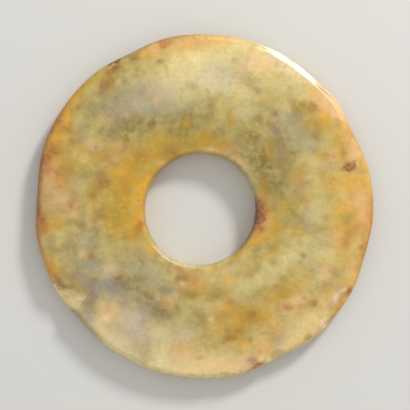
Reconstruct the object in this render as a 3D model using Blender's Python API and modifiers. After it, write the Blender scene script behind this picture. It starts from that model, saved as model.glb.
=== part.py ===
"""Jade bi disc: a flat ring of nephrite with a drilled hole, ground round by hand and worn.

The disc lies on its underside. +Z is up, and the origin is on the ground under the middle of
the outline. All sizes are in metres.
"""

from math import atan2, cos, exp, hypot, pi, radians, remainder, sin, tan

import bmesh
import bpy
from mathutils import Matrix, Vector

MM = 0.001

# The outline: a nearly round blank, then the flats left where a squared slab was ground down.
BLANK_RADIUS = 65.4 * MM
OVALITY = 0.55 * MM
LONG_AXIS = radians(109)
GROUND_FLATS = (  # direction that the flat faces, depth that it takes off the circle
    (radians(26), 1.6 * MM),
    (radians(48), 0.8 * MM),
    (radians(116), 0.5 * MM),
    (radians(176), 1.7 * MM),
    (radians(222), 1.3 * MM),
    (radians(240), 0.3 * MM),
    (radians(297), 0.8 * MM),
    (radians(344), 0.8 * MM),
)
FLAT_BLEND = 150  # how crisply a flat meets the round rim

# The hole, drilled with a tube from both faces, so it is narrowest halfway through.
BORE_RADIUS = 21.2 * MM
BORE_OVALITY = 0.2 * MM
BORE_LONG_AXIS = radians(50)
BORE_OFFSET = Vector((-1.34 * MM, -1.26 * MM, 0.0))  # from the blank's centre
BORE_FLARE = 0.6 * MM
BORE_EDGE_ROUND = 1.2 * MM

# The section: thickest a little way out from the hole, and thinned to a rounded rim.
THICKNESS = 9.4 * MM
CREST_RADIUS = 31.0 * MM
INNER_FALL = 0.35 * MM
SEAT_RADIUS = 37.0 * MM  # the underside is flat out to here
RIM_HEIGHT = 5.2 * MM  # of the rim's outermost line above the ground
RIM_HALF_THICKNESS = 2.9 * MM
RIM_ROUND_WIDTH = 2.8 * MM
RIM_ROUND_TURN = radians(80)  # the rim's curve turns this far up and down from its outermost line
FACE_EDGE_RADIUS = BLANK_RADIUS - RIM_ROUND_WIDTH * (1 - cos(RIM_ROUND_TURN))
FACE_EDGE_RISE = RIM_HALF_THICKNESS * sin(RIM_ROUND_TURN)

# How finely the shape is divided.
TURN_STEPS = 128
FACE_STEPS = 10
UNDERSIDE_STEPS = 5
RIM_STEPS = 8
EDGE_STEPS = 3

# An old saw trough across the lower left of the upper face.
TROUGH_MIDDLE = Vector((-29.0 * MM, -36.0 * MM))
TROUGH_DIRECTION = radians(-21)
TROUGH_DEPTH = 0.6 * MM
TROUGH_HALF_WIDTH = 5.5 * MM
TROUGH_HALF_LENGTH = 21.0 * MM

# Slow waves that hand grinding left on the upper face.
WAVE_HEIGHT = 0.08 * MM
WAVE_LENGTH = 46.0 * MM
WAVE_DIRECTIONS = (radians(15), radians(80), radians(140))

# Three strokes of the grinding stone left bevels on the rim's upper edge, side by side at the upper right.
BEVELS = (  # direction of a bevel's middle, direction that it faces
    (radians(65.5), radians(59)),
    (radians(52), radians(52.5)),
    (radians(38), radians(30)),
)
BEVEL_HALF_SPREAD = radians(7.5)
BEVEL_WIDTH = 2.1 * MM
BEVEL_SLOPE = tan(radians(27.5))
ARRIS_RISE = 0.8 * MM  # the rim is full from this far above its outermost line
ARRIS_WIDTH = 1.4 * MM  # and from the outline in to here

# A three-cornered splinter is missing from the rim at the lower left.
SPLINTER_DIRECTION = radians(217.5)  # of the scar's inner corner
SPLINTER_REACH = 8.0 * MM  # from the rim to that corner
SPLINTER_HEADING = radians(191)  # middle line of the scar, out from that corner
SPLINTER_OPENING = radians(51)  # between the scar's two sides at that corner
SPLINTER_FALL_DIRECTION = radians(203)
SPLINTER_FALL = 0.33  # fall of the scar's floor for each unit outward
SPLINTER_WALL = radians(38)  # lean of the scar's two walls from upright

# Round flake scars on the rim's upper edge: direction, radius of the scoop, depth of the bite.
RIM_FLAKES = (
    (radians(122), 4.0 * MM, 0.8 * MM),
    (radians(277), 3.0 * MM, 1.1 * MM),
    (radians(296), 6.0 * MM, 1.5 * MM),
    (radians(316), 3.5 * MM, 0.7 * MM),
    (radians(328), 5.0 * MM, 0.9 * MM),
)

JADE_COLOUR = (0.52, 0.38, 0.15, 1.0)
JADE_ROUGHNESS = 0.35


def clear_scene():
    """Remove the objects of the open scene."""
    for old in list(bpy.data.objects):
        bpy.data.objects.remove(old, do_unlink=True)


def make_collection(name):
    """Add a collection to the scene."""
    collection = bpy.data.collections.new(name)
    bpy.context.scene.collection.children.link(collection)
    return collection


def make_jade():
    """Yellow-green nephrite with a waxy polish."""
    jade = bpy.data.materials.new("nephrite")
    jade.use_nodes = True
    shader = jade.node_tree.nodes["Principled BSDF"]
    shader.inputs["Base Color"].default_value = JADE_COLOUR
    shader.inputs["Roughness"].default_value = JADE_ROUGHNESS
    shader.inputs["Metallic"].default_value = 0.0
    return jade


def direction(angle):
    """Unit vector on the ground at an angle from +X."""
    return Vector((cos(angle), sin(angle), 0.0))


def outline_radius(angle):
    """Radius of the rim: the least of the oval blank and the flats, blended where they cross."""
    oval = 1 + OVALITY / BLANK_RADIUS * cos(2 * (angle - LONG_AXIS))
    crossing = oval ** -FLAT_BLEND
    for facing, depth in GROUND_FLATS:
        lean = max(cos(angle - facing), 0.3)
        crossing += (lean / (1 - depth / BLANK_RADIUS)) ** FLAT_BLEND
    return BLANK_RADIUS * crossing ** (-1 / FLAT_BLEND)


def blank_centre():
    """Centre of the blank, placed so that the middle of the outline's width and depth is the origin."""
    rim = [direction(angle) * outline_radius(angle) for angle in
           (2 * pi * step / TURN_STEPS for step in range(TURN_STEPS))]
    xs = [point.x for point in rim]
    ys = [point.y for point in rim]
    return Vector((-(min(xs) + max(xs)) / 2, -(min(ys) + max(ys)) / 2, 0.0))


BLANK_CENTRE = blank_centre()


def rim_point(angle):
    """Outermost point of the rim in a direction, seen from above."""
    return BLANK_CENTRE + direction(angle) * outline_radius(angle)


def bore_point(angle):
    """Point of the hole's waist in a direction, seen from above."""
    radius = BORE_RADIUS + BORE_OVALITY * cos(2 * (angle - BORE_LONG_AXIS))
    return BLANK_CENTRE + BORE_OFFSET + direction(angle) * radius


def face_height(radius):
    """Height of the turned disc's upper face outside its crest."""
    part = (radius - CREST_RADIUS) / (FACE_EDGE_RADIUS - CREST_RADIUS)
    return THICKNESS - (THICKNESS - RIM_HEIGHT - FACE_EDGE_RISE) * part ** 2


def rim_profile():
    """The rounded rim, from the upper face down to the underside."""
    for step in range(RIM_STEPS + 1):
        turn = RIM_ROUND_TURN * (1 - 2 * step / RIM_STEPS)
        yield (BLANK_RADIUS - RIM_ROUND_WIDTH * (1 - cos(turn)), RIM_HEIGHT + RIM_HALF_THICKNESS * sin(turn))


def underside_profile():
    """The underside, from the rim in to the edge of the flat seat."""
    for step in range(1, UNDERSIDE_STEPS + 1):
        part = 1 - step / UNDERSIDE_STEPS
        yield (SEAT_RADIUS + part * (FACE_EDGE_RADIUS - SEAT_RADIUS), (RIM_HEIGHT - FACE_EDGE_RISE) * part ** 2)


def bore_profile():
    """The hole's wall, from the rounded lower edge past the waist to the rounded upper edge."""
    edge = BORE_RADIUS + BORE_FLARE + BORE_EDGE_ROUND
    top = THICKNESS - INNER_FALL
    turns = [0.5 * pi * step / EDGE_STEPS for step in range(EDGE_STEPS + 1)]
    for turn in turns:
        yield (edge - BORE_EDGE_ROUND * sin(turn), BORE_EDGE_ROUND * (1 - cos(turn)))
    yield (BORE_RADIUS, top / 2)
    for turn in turns:
        yield (edge - BORE_EDGE_ROUND * cos(turn), top - BORE_EDGE_ROUND * (1 - sin(turn)))


def upper_profile():
    """The upper face, from the hole's edge over the crest and out to the rim."""
    edge = BORE_RADIUS + BORE_FLARE + BORE_EDGE_ROUND
    yield ((edge + CREST_RADIUS) / 2, THICKNESS - INNER_FALL / 4)
    for step in range(FACE_STEPS):
        radius = CREST_RADIUS + (FACE_EDGE_RADIUS - CREST_RADIUS) * step / FACE_STEPS
        yield (radius, face_height(radius))


def turn_section(collection):
    """Turn the closed section about the axis, into a true round disc."""
    section = [*rim_profile(), *underside_profile(), *bore_profile(), *upper_profile()]
    corners = len(section)
    mesh = bpy.data.meshes.new("disc_section")
    mesh.from_pydata([(radius, 0.0, height) for radius, height in section],
                     [(index, (index + 1) % corners) for index in range(corners)], [])
    disc = bpy.data.objects.new("disc_section", mesh)
    collection.objects.link(disc)
    turning = disc.modifiers.new("turning", "SCREW")
    turning.axis = "Z"
    turning.angle = 2 * pi
    turning.steps = TURN_STEPS
    turning.render_steps = TURN_STEPS
    turning.use_merge_vertices = True
    turning.merge_threshold = 0.00001
    turned = bpy.data.meshes.new_from_object(disc.evaluated_get(bpy.context.evaluated_depsgraph_get()))
    bpy.data.objects.remove(disc, do_unlink=True)
    bpy.data.meshes.remove(mesh)
    return turned


def relief(place):
    """Height that the upper face gains at a place: the grinding waves, less the saw trough."""
    along = Vector((cos(TROUGH_DIRECTION), sin(TROUGH_DIRECTION)))
    across = Vector((-along.y, along.x))
    offset = place - TROUGH_MIDDLE
    trough = exp(-(offset.dot(across) / TROUGH_HALF_WIDTH) ** 2 - (offset.dot(along) / TROUGH_HALF_LENGTH) ** 4)
    waves = 0.0
    for index, heading in enumerate(WAVE_DIRECTIONS):
        distance = place.x * cos(heading) + place.y * sin(heading)
        waves += sin(2 * pi * distance / WAVE_LENGTH + 2 * index)
    return WAVE_HEIGHT * waves - TROUGH_DEPTH * trough


def worn_height(place, height):
    """Height of a point of the turned disc once its upper face is worn."""
    upper = min(max((height - RIM_HEIGHT) / (THICKNESS - RIM_HEIGHT), 0.0), 1.0)
    return height + upper * relief(place.to_2d())


def face_point(angle, inset):
    """Point of the worn upper face in a direction, an inset inside the rim."""
    place = rim_point(angle) - direction(angle) * inset
    place.z = worn_height(place, face_height(BLANK_RADIUS - inset))
    return place


def bevelled_height(place, angle, inset):
    """Height of a point near the rim once the bevels are ground, with a crisp arris at the outline."""
    height = place.z
    for middle, facing in BEVELS:
        inner = face_point(middle, BEVEL_WIDTH)
        change = inner.z - BEVEL_SLOPE * (place - inner).dot(direction(facing)) - height
        if change > 0:
            fullness = min(max((height - RIM_HEIGHT) / ARRIS_RISE, 0.0), 1.0)
            change *= fullness * min(max(2 - 2 * inset / ARRIS_WIDTH, 0.0), 1.0)
        apart = remainder(angle - middle, 2 * pi)
        height += change * exp(-(apart / BEVEL_HALF_SPREAD) ** 4)
    return height


def grind_by_hand(mesh):
    """Draw the round disc out to its real outline and hole, wear its upper face and bevel its rim."""
    for vertex in mesh.vertices:
        x, y, height = vertex.co
        angle = atan2(y, x)
        part = (hypot(x, y) - BORE_RADIUS) / (BLANK_RADIUS - BORE_RADIUS)
        place = bore_point(angle).lerp(rim_point(angle), part)
        inset = (rim_point(angle) - place).length
        place.z = worn_height(place, height)
        place.z = bevelled_height(place, angle, inset)
        vertex.co = place


def add_cutter(mesh, name, collection):
    """Put a cutter's mesh in the scene as a wire guide."""
    cutter = bpy.data.objects.new(name, mesh)
    cutter.hide_render = True
    cutter.display_type = "WIRE"
    collection.objects.link(cutter)
    return cutter


def splinter_cutter(collection):
    """A three-sided block that widens upward. Its small end lies along the scar's floor.

    An even-sided triangle is 1.5 radii long and opens by 60 degrees, and its sides are half a
    radius from its middle.
    """
    length = 3 * SPLINTER_REACH
    height = 6.0 * MM
    floor_radius = length / 1.5
    top_radius = floor_radius + 2 * height * tan(SPLINTER_WALL)
    narrowing = tan(SPLINTER_OPENING / 2) / tan(radians(60) / 2)
    mesh = bpy.data.meshes.new("splinter")
    shape = bmesh.new()
    bmesh.ops.create_cone(shape, cap_ends=True, segments=3, radius1=floor_radius, radius2=top_radius,
                          depth=height)
    corner_to_origin = (0.0, -floor_radius, height / 2)
    bmesh.ops.translate(shape, vec=corner_to_origin, verts=shape.verts)
    bmesh.ops.scale(shape, vec=(narrowing, 1.0, 1.0), verts=shape.verts)
    shape.to_mesh(mesh)
    shape.free()
    upward = (direction(SPLINTER_FALL_DIRECTION) * SPLINTER_FALL + Vector((0.0, 0.0, 1.0))).normalized()
    across = upward.cross(direction(SPLINTER_HEADING)).normalized()
    turn = Matrix((across, upward.cross(across), upward)).transposed().to_4x4()
    cutter = add_cutter(mesh, "splinter_cutter", collection)
    cutter.matrix_world = Matrix.Translation(face_point(SPLINTER_DIRECTION, SPLINTER_REACH)) @ turn
    return cutter


def flake_cutter(index, angle, scoop, bite, collection):
    """A ball that bites into the rim's upper edge, which is rounded there at 45 degrees."""
    slant = radians(45)
    outward = direction(angle)
    edge = rim_point(angle) - outward * RIM_ROUND_WIDTH * (1 - cos(slant))
    edge.z = RIM_HEIGHT + RIM_HALF_THICKNESS * sin(slant)
    lift = outward * cos(slant) + Vector((0.0, 0.0, sin(slant)))
    mesh = bpy.data.meshes.new("flake")
    shape = bmesh.new()
    bmesh.ops.create_uvsphere(shape, u_segments=28, v_segments=16, radius=scoop)
    shape.to_mesh(mesh)
    shape.free()
    cutter = add_cutter(mesh, f"flake_cutter_{index}", collection)
    cutter.location = edge + lift * (scoop - bite)
    return cutter


def chip(disc, cutter):
    """Break away what a cutter covers."""
    cut = disc.modifiers.new(cutter.name, "BOOLEAN")
    cut.operation = "DIFFERENCE"
    cut.solver = "EXACT"
    cut.object = cutter


def build():
    """Make the disc and break its chips out."""
    clear_scene()
    parts = make_collection("jade_bi_disc")
    cutters = make_collection("cutters")
    mesh = turn_section(parts)
    grind_by_hand(mesh)
    mesh.name = "jade_bi_disc"
    mesh.materials.append(make_jade())
    mesh.shade_smooth()
    disc = bpy.data.objects.new("jade_bi_disc", mesh)
    parts.objects.link(disc)
    chip(disc, splinter_cutter(cutters))
    for index, (angle, scoop, bite) in enumerate(RIM_FLAKES, start=1):
        chip(disc, flake_cutter(index, angle, scoop, bite, cutters))


build()
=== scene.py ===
"""The looks of the jade bi disc: one ring of nephrite, ground by hand and drilled, lying on a pale floor.

The disc's sizes are in millimetres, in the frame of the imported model, and become metres in the mesh.
"""
import logging
from dataclasses import dataclass, field
from enum import Enum
from math import cos, pi, radians, sin, tan
from typing import Any, Iterator

import bpy
import numpy as np
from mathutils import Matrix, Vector


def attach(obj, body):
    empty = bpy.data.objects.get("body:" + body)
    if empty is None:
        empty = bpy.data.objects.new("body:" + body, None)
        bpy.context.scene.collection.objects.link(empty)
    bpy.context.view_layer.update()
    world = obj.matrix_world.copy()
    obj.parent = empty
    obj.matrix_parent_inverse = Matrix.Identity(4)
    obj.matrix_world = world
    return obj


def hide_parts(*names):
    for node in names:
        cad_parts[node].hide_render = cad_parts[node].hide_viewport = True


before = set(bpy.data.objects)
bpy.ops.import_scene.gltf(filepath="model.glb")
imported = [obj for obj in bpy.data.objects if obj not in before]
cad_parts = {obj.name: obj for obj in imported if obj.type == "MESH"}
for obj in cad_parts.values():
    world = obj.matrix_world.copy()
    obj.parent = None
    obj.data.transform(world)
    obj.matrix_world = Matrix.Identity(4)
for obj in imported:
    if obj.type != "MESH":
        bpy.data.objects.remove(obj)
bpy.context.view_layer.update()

LOG = logging.getLogger("bi_disc")
Array = np.ndarray
MM = 0.001


# ---------------------------------------------------------------------------------------------
# Small tools
# ---------------------------------------------------------------------------------------------

def linear(hex_colour: str) -> tuple[float, float, float, float]:
    """Turn an sRGB hex colour to linear light.

    Args:
        hex_colour: Colour such as "#c8b070".

    Returns:
        Red, green, blue and an alpha of one.
    """
    parts = [int(hex_colour[start:start + 2], 16) / 255 for start in (1, 3, 5)]
    light = (part / 12.92 if part <= 0.04045 else ((part + 0.055) / 1.055) ** 2.4 for part in parts)
    return *light, 1.0


def heading(angle: Array) -> Array:
    """Unit vectors on the ground for angles from +X, as rows of x and y."""
    return np.stack([np.cos(angle), np.sin(angle)], axis=-1)


def along_and_across(places: Array, middle: tuple[float, float], turn: float) -> tuple[Array, Array]:
    """Distances of places from a middle, along a line on the ground and across it.

    Args:
        places: Points as rows whose first two numbers are x and y.
        middle: The x and y to measure from.
        turn: Direction of the line in degrees.

    Returns:
        The distances along the line, and those across it.
    """
    offset = places[..., :2] - np.array(middle)
    way = radians(turn)
    return offset @ np.array([cos(way), sin(way)]), offset @ np.array([-sin(way), cos(way)])


def put_in_scene(name: str, data: bpy.types.ID) -> bpy.types.Object:
    """Make an object of a mesh, a lamp or a camera, and put it in the scene.

    Args:
        name: Name of the object.
        data: What it shows.

    Returns:
        The object.
    """
    thing = bpy.data.objects.new(name, data)
    bpy.context.scene.collection.objects.link(thing)
    return thing


def flat_bell(angle: Array, middle: float, half_spread: float) -> Array:
    """Flat-topped bell of the direction: exp(-d^4), with d the turn from the middle in half spreads.

    Args:
        angle: Directions in radians.
        middle: Direction of the bell's middle in degrees.
        half_spread: Turn in degrees at which it has fallen to about a third.

    Returns:
        One value a direction, from 0 to 1.
    """
    apart = np.angle(np.exp(1j * (angle - radians(middle))))
    return np.exp(-(apart / radians(half_spread)) ** 4)


class CloudNoise:
    """A smooth random field in space that is the same each run.

    The value at a point is the smooth mix of the random numbers at the eight corners of its lattice cell.
    """

    ORIGIN = 0.37  # where the origin lies in the lattice, as a share of its side
    LAYER_SHIFT = 17.0  # keeps the cells of one layer from lining up with those of the next

    def __init__(self, seed: int, cells: int = 48) -> None:
        """Draw the lattice's numbers, from -1 to 1.

        Args:
            seed: Seed of the random draw.
            cells: Cells along each side before the field repeats.
        """
        self.cells = cells
        self.table = np.random.default_rng(seed).uniform(-1.0, 1.0, (cells, cells, cells))

    def at(self, points: Array, cell: float) -> Array:
        """Read the field.

        Args:
            points: Places, with x, y and z last.
            cell: Size of a lattice cell, in the unit of the points.

        Returns:
            One value a point, from -1 to 1.
        """
        spot = points / cell + self.ORIGIN * self.cells
        low = np.floor(spot).astype(int)
        part = spot - low
        part = part * part * (3 - 2 * part)
        total = np.zeros(points.shape[:-1])
        for corner in np.ndindex(2, 2, 2):
            weight = np.where(np.array(corner), part, 1 - part).prod(axis=-1)
            index = (low + corner) % self.cells
            total += weight * self.table[index[..., 0], index[..., 1], index[..., 2]]
        return total

    def layered(self, points: Array, cell: float, layers: int = 2) -> Array:
        """Add finer and weaker copies of the field: each layer has half the cell and half the height."""
        return sum(self.at(points + self.LAYER_SHIFT * layer, cell / 2 ** layer) / 2 ** layer
                   for layer in range(layers))


# ---------------------------------------------------------------------------------------------
# The disc's form
# ---------------------------------------------------------------------------------------------

@dataclass(frozen=True)
class Flat:
    """A flat left on the rim where the squared slab was ground round."""

    facing: float  # degrees from +X
    depth: float  # taken off the blank's circle


@dataclass(frozen=True)
class Outline:
    """The disc's outer edge seen from above."""

    blank_radius: float = 65.4
    ovality: float = 0.55
    long_axis: float = 109.0
    blend: float = 150.0  # the higher, the crisper the corners between flats
    least_lean: float = 0.3  # cosine of the turn past which a flat no longer counts
    box_steps: int = 128  # directions in which the outline's box is measured
    flats: tuple[Flat, ...] = (
        Flat(26, 1.6), Flat(48, 0.8), Flat(116, 0.5), Flat(176, 1.7),
        Flat(222, 1.3), Flat(240, 0.3), Flat(297, 0.8), Flat(344, 0.8),
    )

    def radius(self, angle: Array) -> Array:
        """Radius of the rim about the blank's centre.

        The rim is the least of the oval blank and the flats. Each is raised to a high power and
        the powers are added, so the crossing of two has a short curve in place of a corner.

        Args:
            angle: Directions in radians.

        Returns:
            One radius a direction.
        """
        oval = 1 + self.ovality / self.blank_radius * np.cos(2 * (angle - radians(self.long_axis)))
        crossing = oval ** -self.blend
        for flat in self.flats:
            lean = np.maximum(np.cos(angle - radians(flat.facing)), self.least_lean)
            crossing = crossing + (lean / (1 - flat.depth / self.blank_radius)) ** self.blend
        return self.blank_radius * crossing ** (-1 / self.blend)

    def centre(self) -> Array:
        """Find the blank's centre, placed so that the middle of the outline's box is the origin.

        Returns:
            Its x and y.
        """
        angle = np.linspace(0, 2 * pi, self.box_steps, endpoint=False)
        rim = heading(angle) * self.radius(angle)[:, None]
        return -(rim.min(axis=0) + rim.max(axis=0)) / 2


@dataclass(frozen=True)
class Bore:
    """The hole, drilled with a tube from both faces, so that it is narrowest halfway through."""

    radius: float = 21.2
    ovality: float = 0.2
    long_axis: float = 50.0
    offset: tuple[float, float] = (-1.34, -1.26)
    flare: float = 0.6
    edge_round: float = 1.2
    step: float = 0.14  # how far the two drillings miss each other
    step_blend: float = 0.12  # height over which one passes into the other
    ring_spacing: float = 1.1  # of the lines that the drill's grit left on the wall
    ring_depth: float = 0.05
    mark_reach: float = 3.0  # distance out from the waist at which the drill's marks fall to a third

    def waist(self, angle: Array) -> Array:
        """Radius of the waist in each direction."""
        return self.radius + self.ovality * np.cos(2 * (angle - radians(self.long_axis)))

    def edge(self) -> float:
        """Radius at which the edge's rounding meets the face."""
        return self.radius + self.flare + self.edge_round


@dataclass(frozen=True)
class Section:
    """The disc's section: thickest a little way out from the hole, and thinned to a rounded rim."""

    thickness: float = 9.4
    crest_radius: float = 31.0
    inner_fall: float = 0.35
    seat_radius: float = 37.0
    rim_height: float = 5.2
    rim_half_thickness: float = 2.9
    rim_round_width: float = 2.8
    rim_round_turn: float = 80.0
    rim_steps: int = 28
    underside_steps: int = 22
    seat_steps: int = 10
    edge_steps: int = 7
    wall_steps: int = 12
    crest_steps: int = 14
    face_steps: int = 60
    crowding: float = 0.25  # how much closer together the face's points stand towards the rim

    def face_edge(self, outer: float) -> tuple[float, float]:
        """Radius and rise above the rim's line at which the rim's curve meets the upper face."""
        turn = radians(self.rim_round_turn)
        return outer - self.rim_round_width * (1 - cos(turn)), self.rim_half_thickness * sin(turn)

    def face_height(self, outer: float, radius: Array) -> Array:
        """Height of the upper face outside its crest: a parabola that falls to the rim's curve.

        Args:
            outer: Radius of the rim.
            radius: Radii at which to read it.

        Returns:
            One height a radius.
        """
        edge, rise = self.face_edge(outer)
        part = (radius - self.crest_radius) / (edge - self.crest_radius)
        return self.thickness - (self.thickness - self.rim_height - rise) * part ** 2

    def rim(self, outer: float) -> Array:
        """Rounded rim, from the upper face down to the underside: most of an ellipse's outer half.

        Args:
            outer: Radius of the rim.

        Returns:
            Rows of radius and height.
        """
        turn = radians(self.rim_round_turn) * np.linspace(1, -1, self.rim_steps, endpoint=False)
        return np.stack([outer - self.rim_round_width * (1 - np.cos(turn)),
                         self.rim_height + self.rim_half_thickness * np.sin(turn)], axis=-1)

    def underside(self, outer: float, edge: float) -> Array:
        """Underside: a parabola from the rim down to the flat seat, then the seat in to the hole's edge.

        Args:
            outer: Radius of the rim.
            edge: Radius of the hole's edge.

        Returns:
            Rows of radius and height.
        """
        radius, rise = self.face_edge(outer)
        part = np.linspace(1, 0, self.underside_steps, endpoint=False)
        slope = np.stack([self.seat_radius + part * (radius - self.seat_radius),
                          (self.rim_height - rise) * part ** 2], axis=-1)
        across = np.linspace(self.seat_radius, edge, self.seat_steps, endpoint=False)
        return np.concatenate([slope, np.stack([across, 0 * across], axis=-1)])

    def bore_wall(self, bore: Bore) -> Array:
        """Hole's wall: a quarter circle, two straight flares that meet at the waist, a quarter circle.

        Args:
            bore: The hole.

        Returns:
            Rows of radius and height, upwards.
        """
        top = self.thickness - self.inner_fall
        turn = np.linspace(0, pi / 2, self.edge_steps, endpoint=False)
        lower = np.stack([bore.edge() - bore.edge_round * np.sin(turn), bore.edge_round * (1 - np.cos(turn))],
                         axis=-1)
        height = np.linspace(bore.edge_round, top - bore.edge_round, self.wall_steps, endpoint=False)
        lean = np.abs(height - top / 2) / (top / 2 - bore.edge_round)
        wall = np.stack([bore.radius + bore.flare * lean, height], axis=-1)
        upper = np.stack([bore.edge() - bore.edge_round * np.cos(turn),
                          top - bore.edge_round * (1 - np.sin(turn))], axis=-1)
        return np.concatenate([lower, wall, upper])

    def face(self, outer: float, edge: float) -> Array:
        """Upper face: one parabola from the hole's edge up to the crest, another from there to the rim.

        Args:
            outer: Radius of the rim.
            edge: Radius of the hole's edge.

        Returns:
            Rows of radius and height, outwards.
        """
        inner = np.linspace(edge, self.crest_radius, self.crest_steps, endpoint=False)
        climb = (self.crest_radius - inner) / (self.crest_radius - edge)
        step = np.linspace(0, 1, self.face_steps, endpoint=False)
        step = (1 + self.crowding) * step - self.crowding * step ** 2
        out = self.crest_radius + (self.face_edge(outer)[0] - self.crest_radius) * step
        return np.concatenate([np.stack([inner, self.thickness - self.inner_fall * climb ** 2], axis=-1),
                               np.stack([out, self.face_height(outer, out)], axis=-1)])

    def loop(self, outer: float, bore: Bore) -> Array:
        """Whole closed section as rows of radius and height, down the rim and back over the top."""
        return np.concatenate([self.rim(outer), self.underside(outer, bore.edge()), self.bore_wall(bore),
                               self.face(outer, bore.edge())])


@dataclass(frozen=True)
class Relief:
    """What grinding and sawing left on the faces, apart from chips and pits."""

    trough_middle: tuple[float, float] = (-29.0, -36.0)
    trough_direction: float = -21.0
    trough_depth: float = 0.6
    trough_half_width: float = 5.5
    trough_half_length: float = 21.0
    wave_height: float = 0.08
    wave_length: float = 46.0
    wave_headings: tuple[float, ...] = (15.0, 80.0, 140.0)
    wave_lag: float = 2.0  # radians between the start of one wave and of the next
    dimple_height: float = 0.05
    dimple_size: float = 9.0
    grain_height: float = 0.013
    grain_size: float = 2.6
    grain_shift: float = 40.0  # keeps the grain from following the dimples

    def broad(self, places: Array) -> Array:
        """Slow waves less the old saw trough.

        The trough is a bell curve across its line and a flatter bell along it. The waves are three
        sines of one length that run in different directions.

        Args:
            places: Points as rows whose first two numbers are x and y.

        Returns:
            Height that the upper face gains at each point.
        """
        along, across = along_and_across(places, self.trough_middle, self.trough_direction)
        trough = np.exp(-(across / self.trough_half_width) ** 2 - (along / self.trough_half_length) ** 4)
        waves = np.zeros(places.shape[:-1])
        for index, wave_heading in enumerate(self.wave_headings):
            distance = places[..., :2] @ heading(np.array(radians(wave_heading)))
            waves += np.sin(2 * pi * distance / self.wave_length + self.wave_lag * index)
        return self.wave_height * waves - self.trough_depth * trough

    def fine(self, points: Array, clouds: CloudNoise) -> Array:
        """Hand-ground dimples and a finer grain, both layered noise.

        Args:
            points: Points on the surface.
            clouds: Noise to read.

        Returns:
            Height that the surface gains at each point.
        """
        dimples = self.dimple_height * clouds.layered(points, self.dimple_size)
        return dimples + self.grain_height * clouds.layered(points + self.grain_shift, self.grain_size)


@dataclass(frozen=True)
class Flake:
    """A round scar where a flake left the rim: a ball that bites into the rim's rounded edge."""

    facing: float
    scoop: float  # the ball's radius
    bite: float  # how deep it goes
    slant: float = 45.0  # how high up the rim it sits; negative is on the lower edge


@dataclass(frozen=True)
class Nibbles:
    """Tiny flakes lost along both edges of the rim, everywhere but on its ground bevels."""

    count: int = 48
    seed: int = 5
    facings: tuple[float, float] = (80, 395)
    scoops: tuple[float, float] = (1.2, 3.2)
    bites: tuple[float, float] = (0.1, 0.34)
    slants: tuple[float, ...] = (-50, 35, 50, 65)

    def flakes(self) -> list[Flake]:
        """Draw the flakes, each one's sizes in the order of its fields."""
        draw = np.random.default_rng(self.seed)
        return [Flake(draw.uniform(*self.facings), draw.uniform(*self.scoops), draw.uniform(*self.bites),
                      draw.choice(self.slants)) for _ in range(self.count)]


@dataclass(frozen=True)
class Bevel:
    """A flat stroke of the grinding stone along the rim's upper edge, crisp where it meets the outline."""

    middle: float  # direction of its middle
    facing: float  # direction that it faces
    half_spread: float = 7.5
    width: float = 2.1
    tilt: float = 27.5
    arris_rise: float = 0.8  # the rim is filled out to the flat from this far above its outermost line
    arris_width: float = 1.4  # and no further than this inside the outline


@dataclass(frozen=True)
class Splinter:
    """A three-cornered scar: its floor falls outward from an inner corner, between two short walls."""

    facing: float = 217.5  # direction of the inner corner
    reach: float = 8.0  # from the rim to that corner
    heading: float = 191.0  # middle line of the scar, out from that corner
    opening: float = 51.0  # between its two sides
    fall_heading: float = 203.0
    fall: float = 0.33  # of the floor, for each unit outward
    wall: float = 38.0  # lean of the walls from upright
    rough_height: float = 0.04
    rough_size: float = 1.6
    crowd_middle: float = 213.5  # the disc's sections stand closer together about here
    crowd_spread: float = 8.0  # and this far to either side


@dataclass(frozen=True)
class PitField:
    """A scatter of small pits over both faces, denser in the weathered places."""

    count: int = 320
    least: float = 0.6
    most: float = 1.5
    depth: float = 0.22
    least_depth: float = 0.3  # as a share of it
    seed: int = 11
    between: tuple[float, float] = (0.08, 0.94)  # part of the way from the waist to the rim
    on_top: float = 0.62  # share of the pits
    top_from: float = 0.4  # part of the upper half's height from which the upper face's pits show
    low_until: float = 0.45  # part of the thickness up to which the lower face's do
    clusters: tuple[tuple[float, float, float], ...] = (  # x, y and spread of a weathered place
        (-5, -30, 6), (-46, 6, 12), (30, -38, 10), (49, 20, 8), (14, -50, 8),
    )

    def scatter(self, disc: "BiDisc") -> Iterator[tuple[float, float, float, float, bool]]:
        """Draw the pits: half of them gathered in the clusters, the others anywhere between hole and rim.

        Args:
            disc: Disc that they are on.

        Yields:
            The x and y of a pit, its radius, its depth and whether it is on the upper face.
        """
        draw = np.random.default_rng(self.seed)
        for number in range(self.count):
            if number % 2:
                x, y, spread = self.clusters[draw.integers(len(self.clusters))]
                spot = np.array([x, y]) + draw.normal(0, spread, 2)
            else:
                spot = disc.plan(np.array(draw.uniform(0, 2 * pi)), np.array(draw.uniform(*self.between)))
            radius = self.least + (self.most - self.least) * draw.random() ** 2
            deep = self.depth * draw.uniform(self.least_depth, 1.0) * radius / self.most
            yield *spot, radius, deep, draw.random() < self.on_top


# ---------------------------------------------------------------------------------------------
# Stains, and painted light and shade
# ---------------------------------------------------------------------------------------------

class Tint(Enum):
    """Colours in the stone, some of them also laid as painted light and shade. Each is laid over those before
    it.
    """

    PALE = "pale"
    CREAM = "cream"
    SAGE = "sage"
    OLIVE = "olive"
    LILAC = "lilac"
    MAUVE = "mauve"
    SLATE = "slate"
    GOLD = "gold"
    AMBER = "amber"
    PEACH = "peach"
    OCHRE = "ochre"
    RUSSET = "russet"
    UMBER = "umber"
    CHALK = "chalk"


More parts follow.
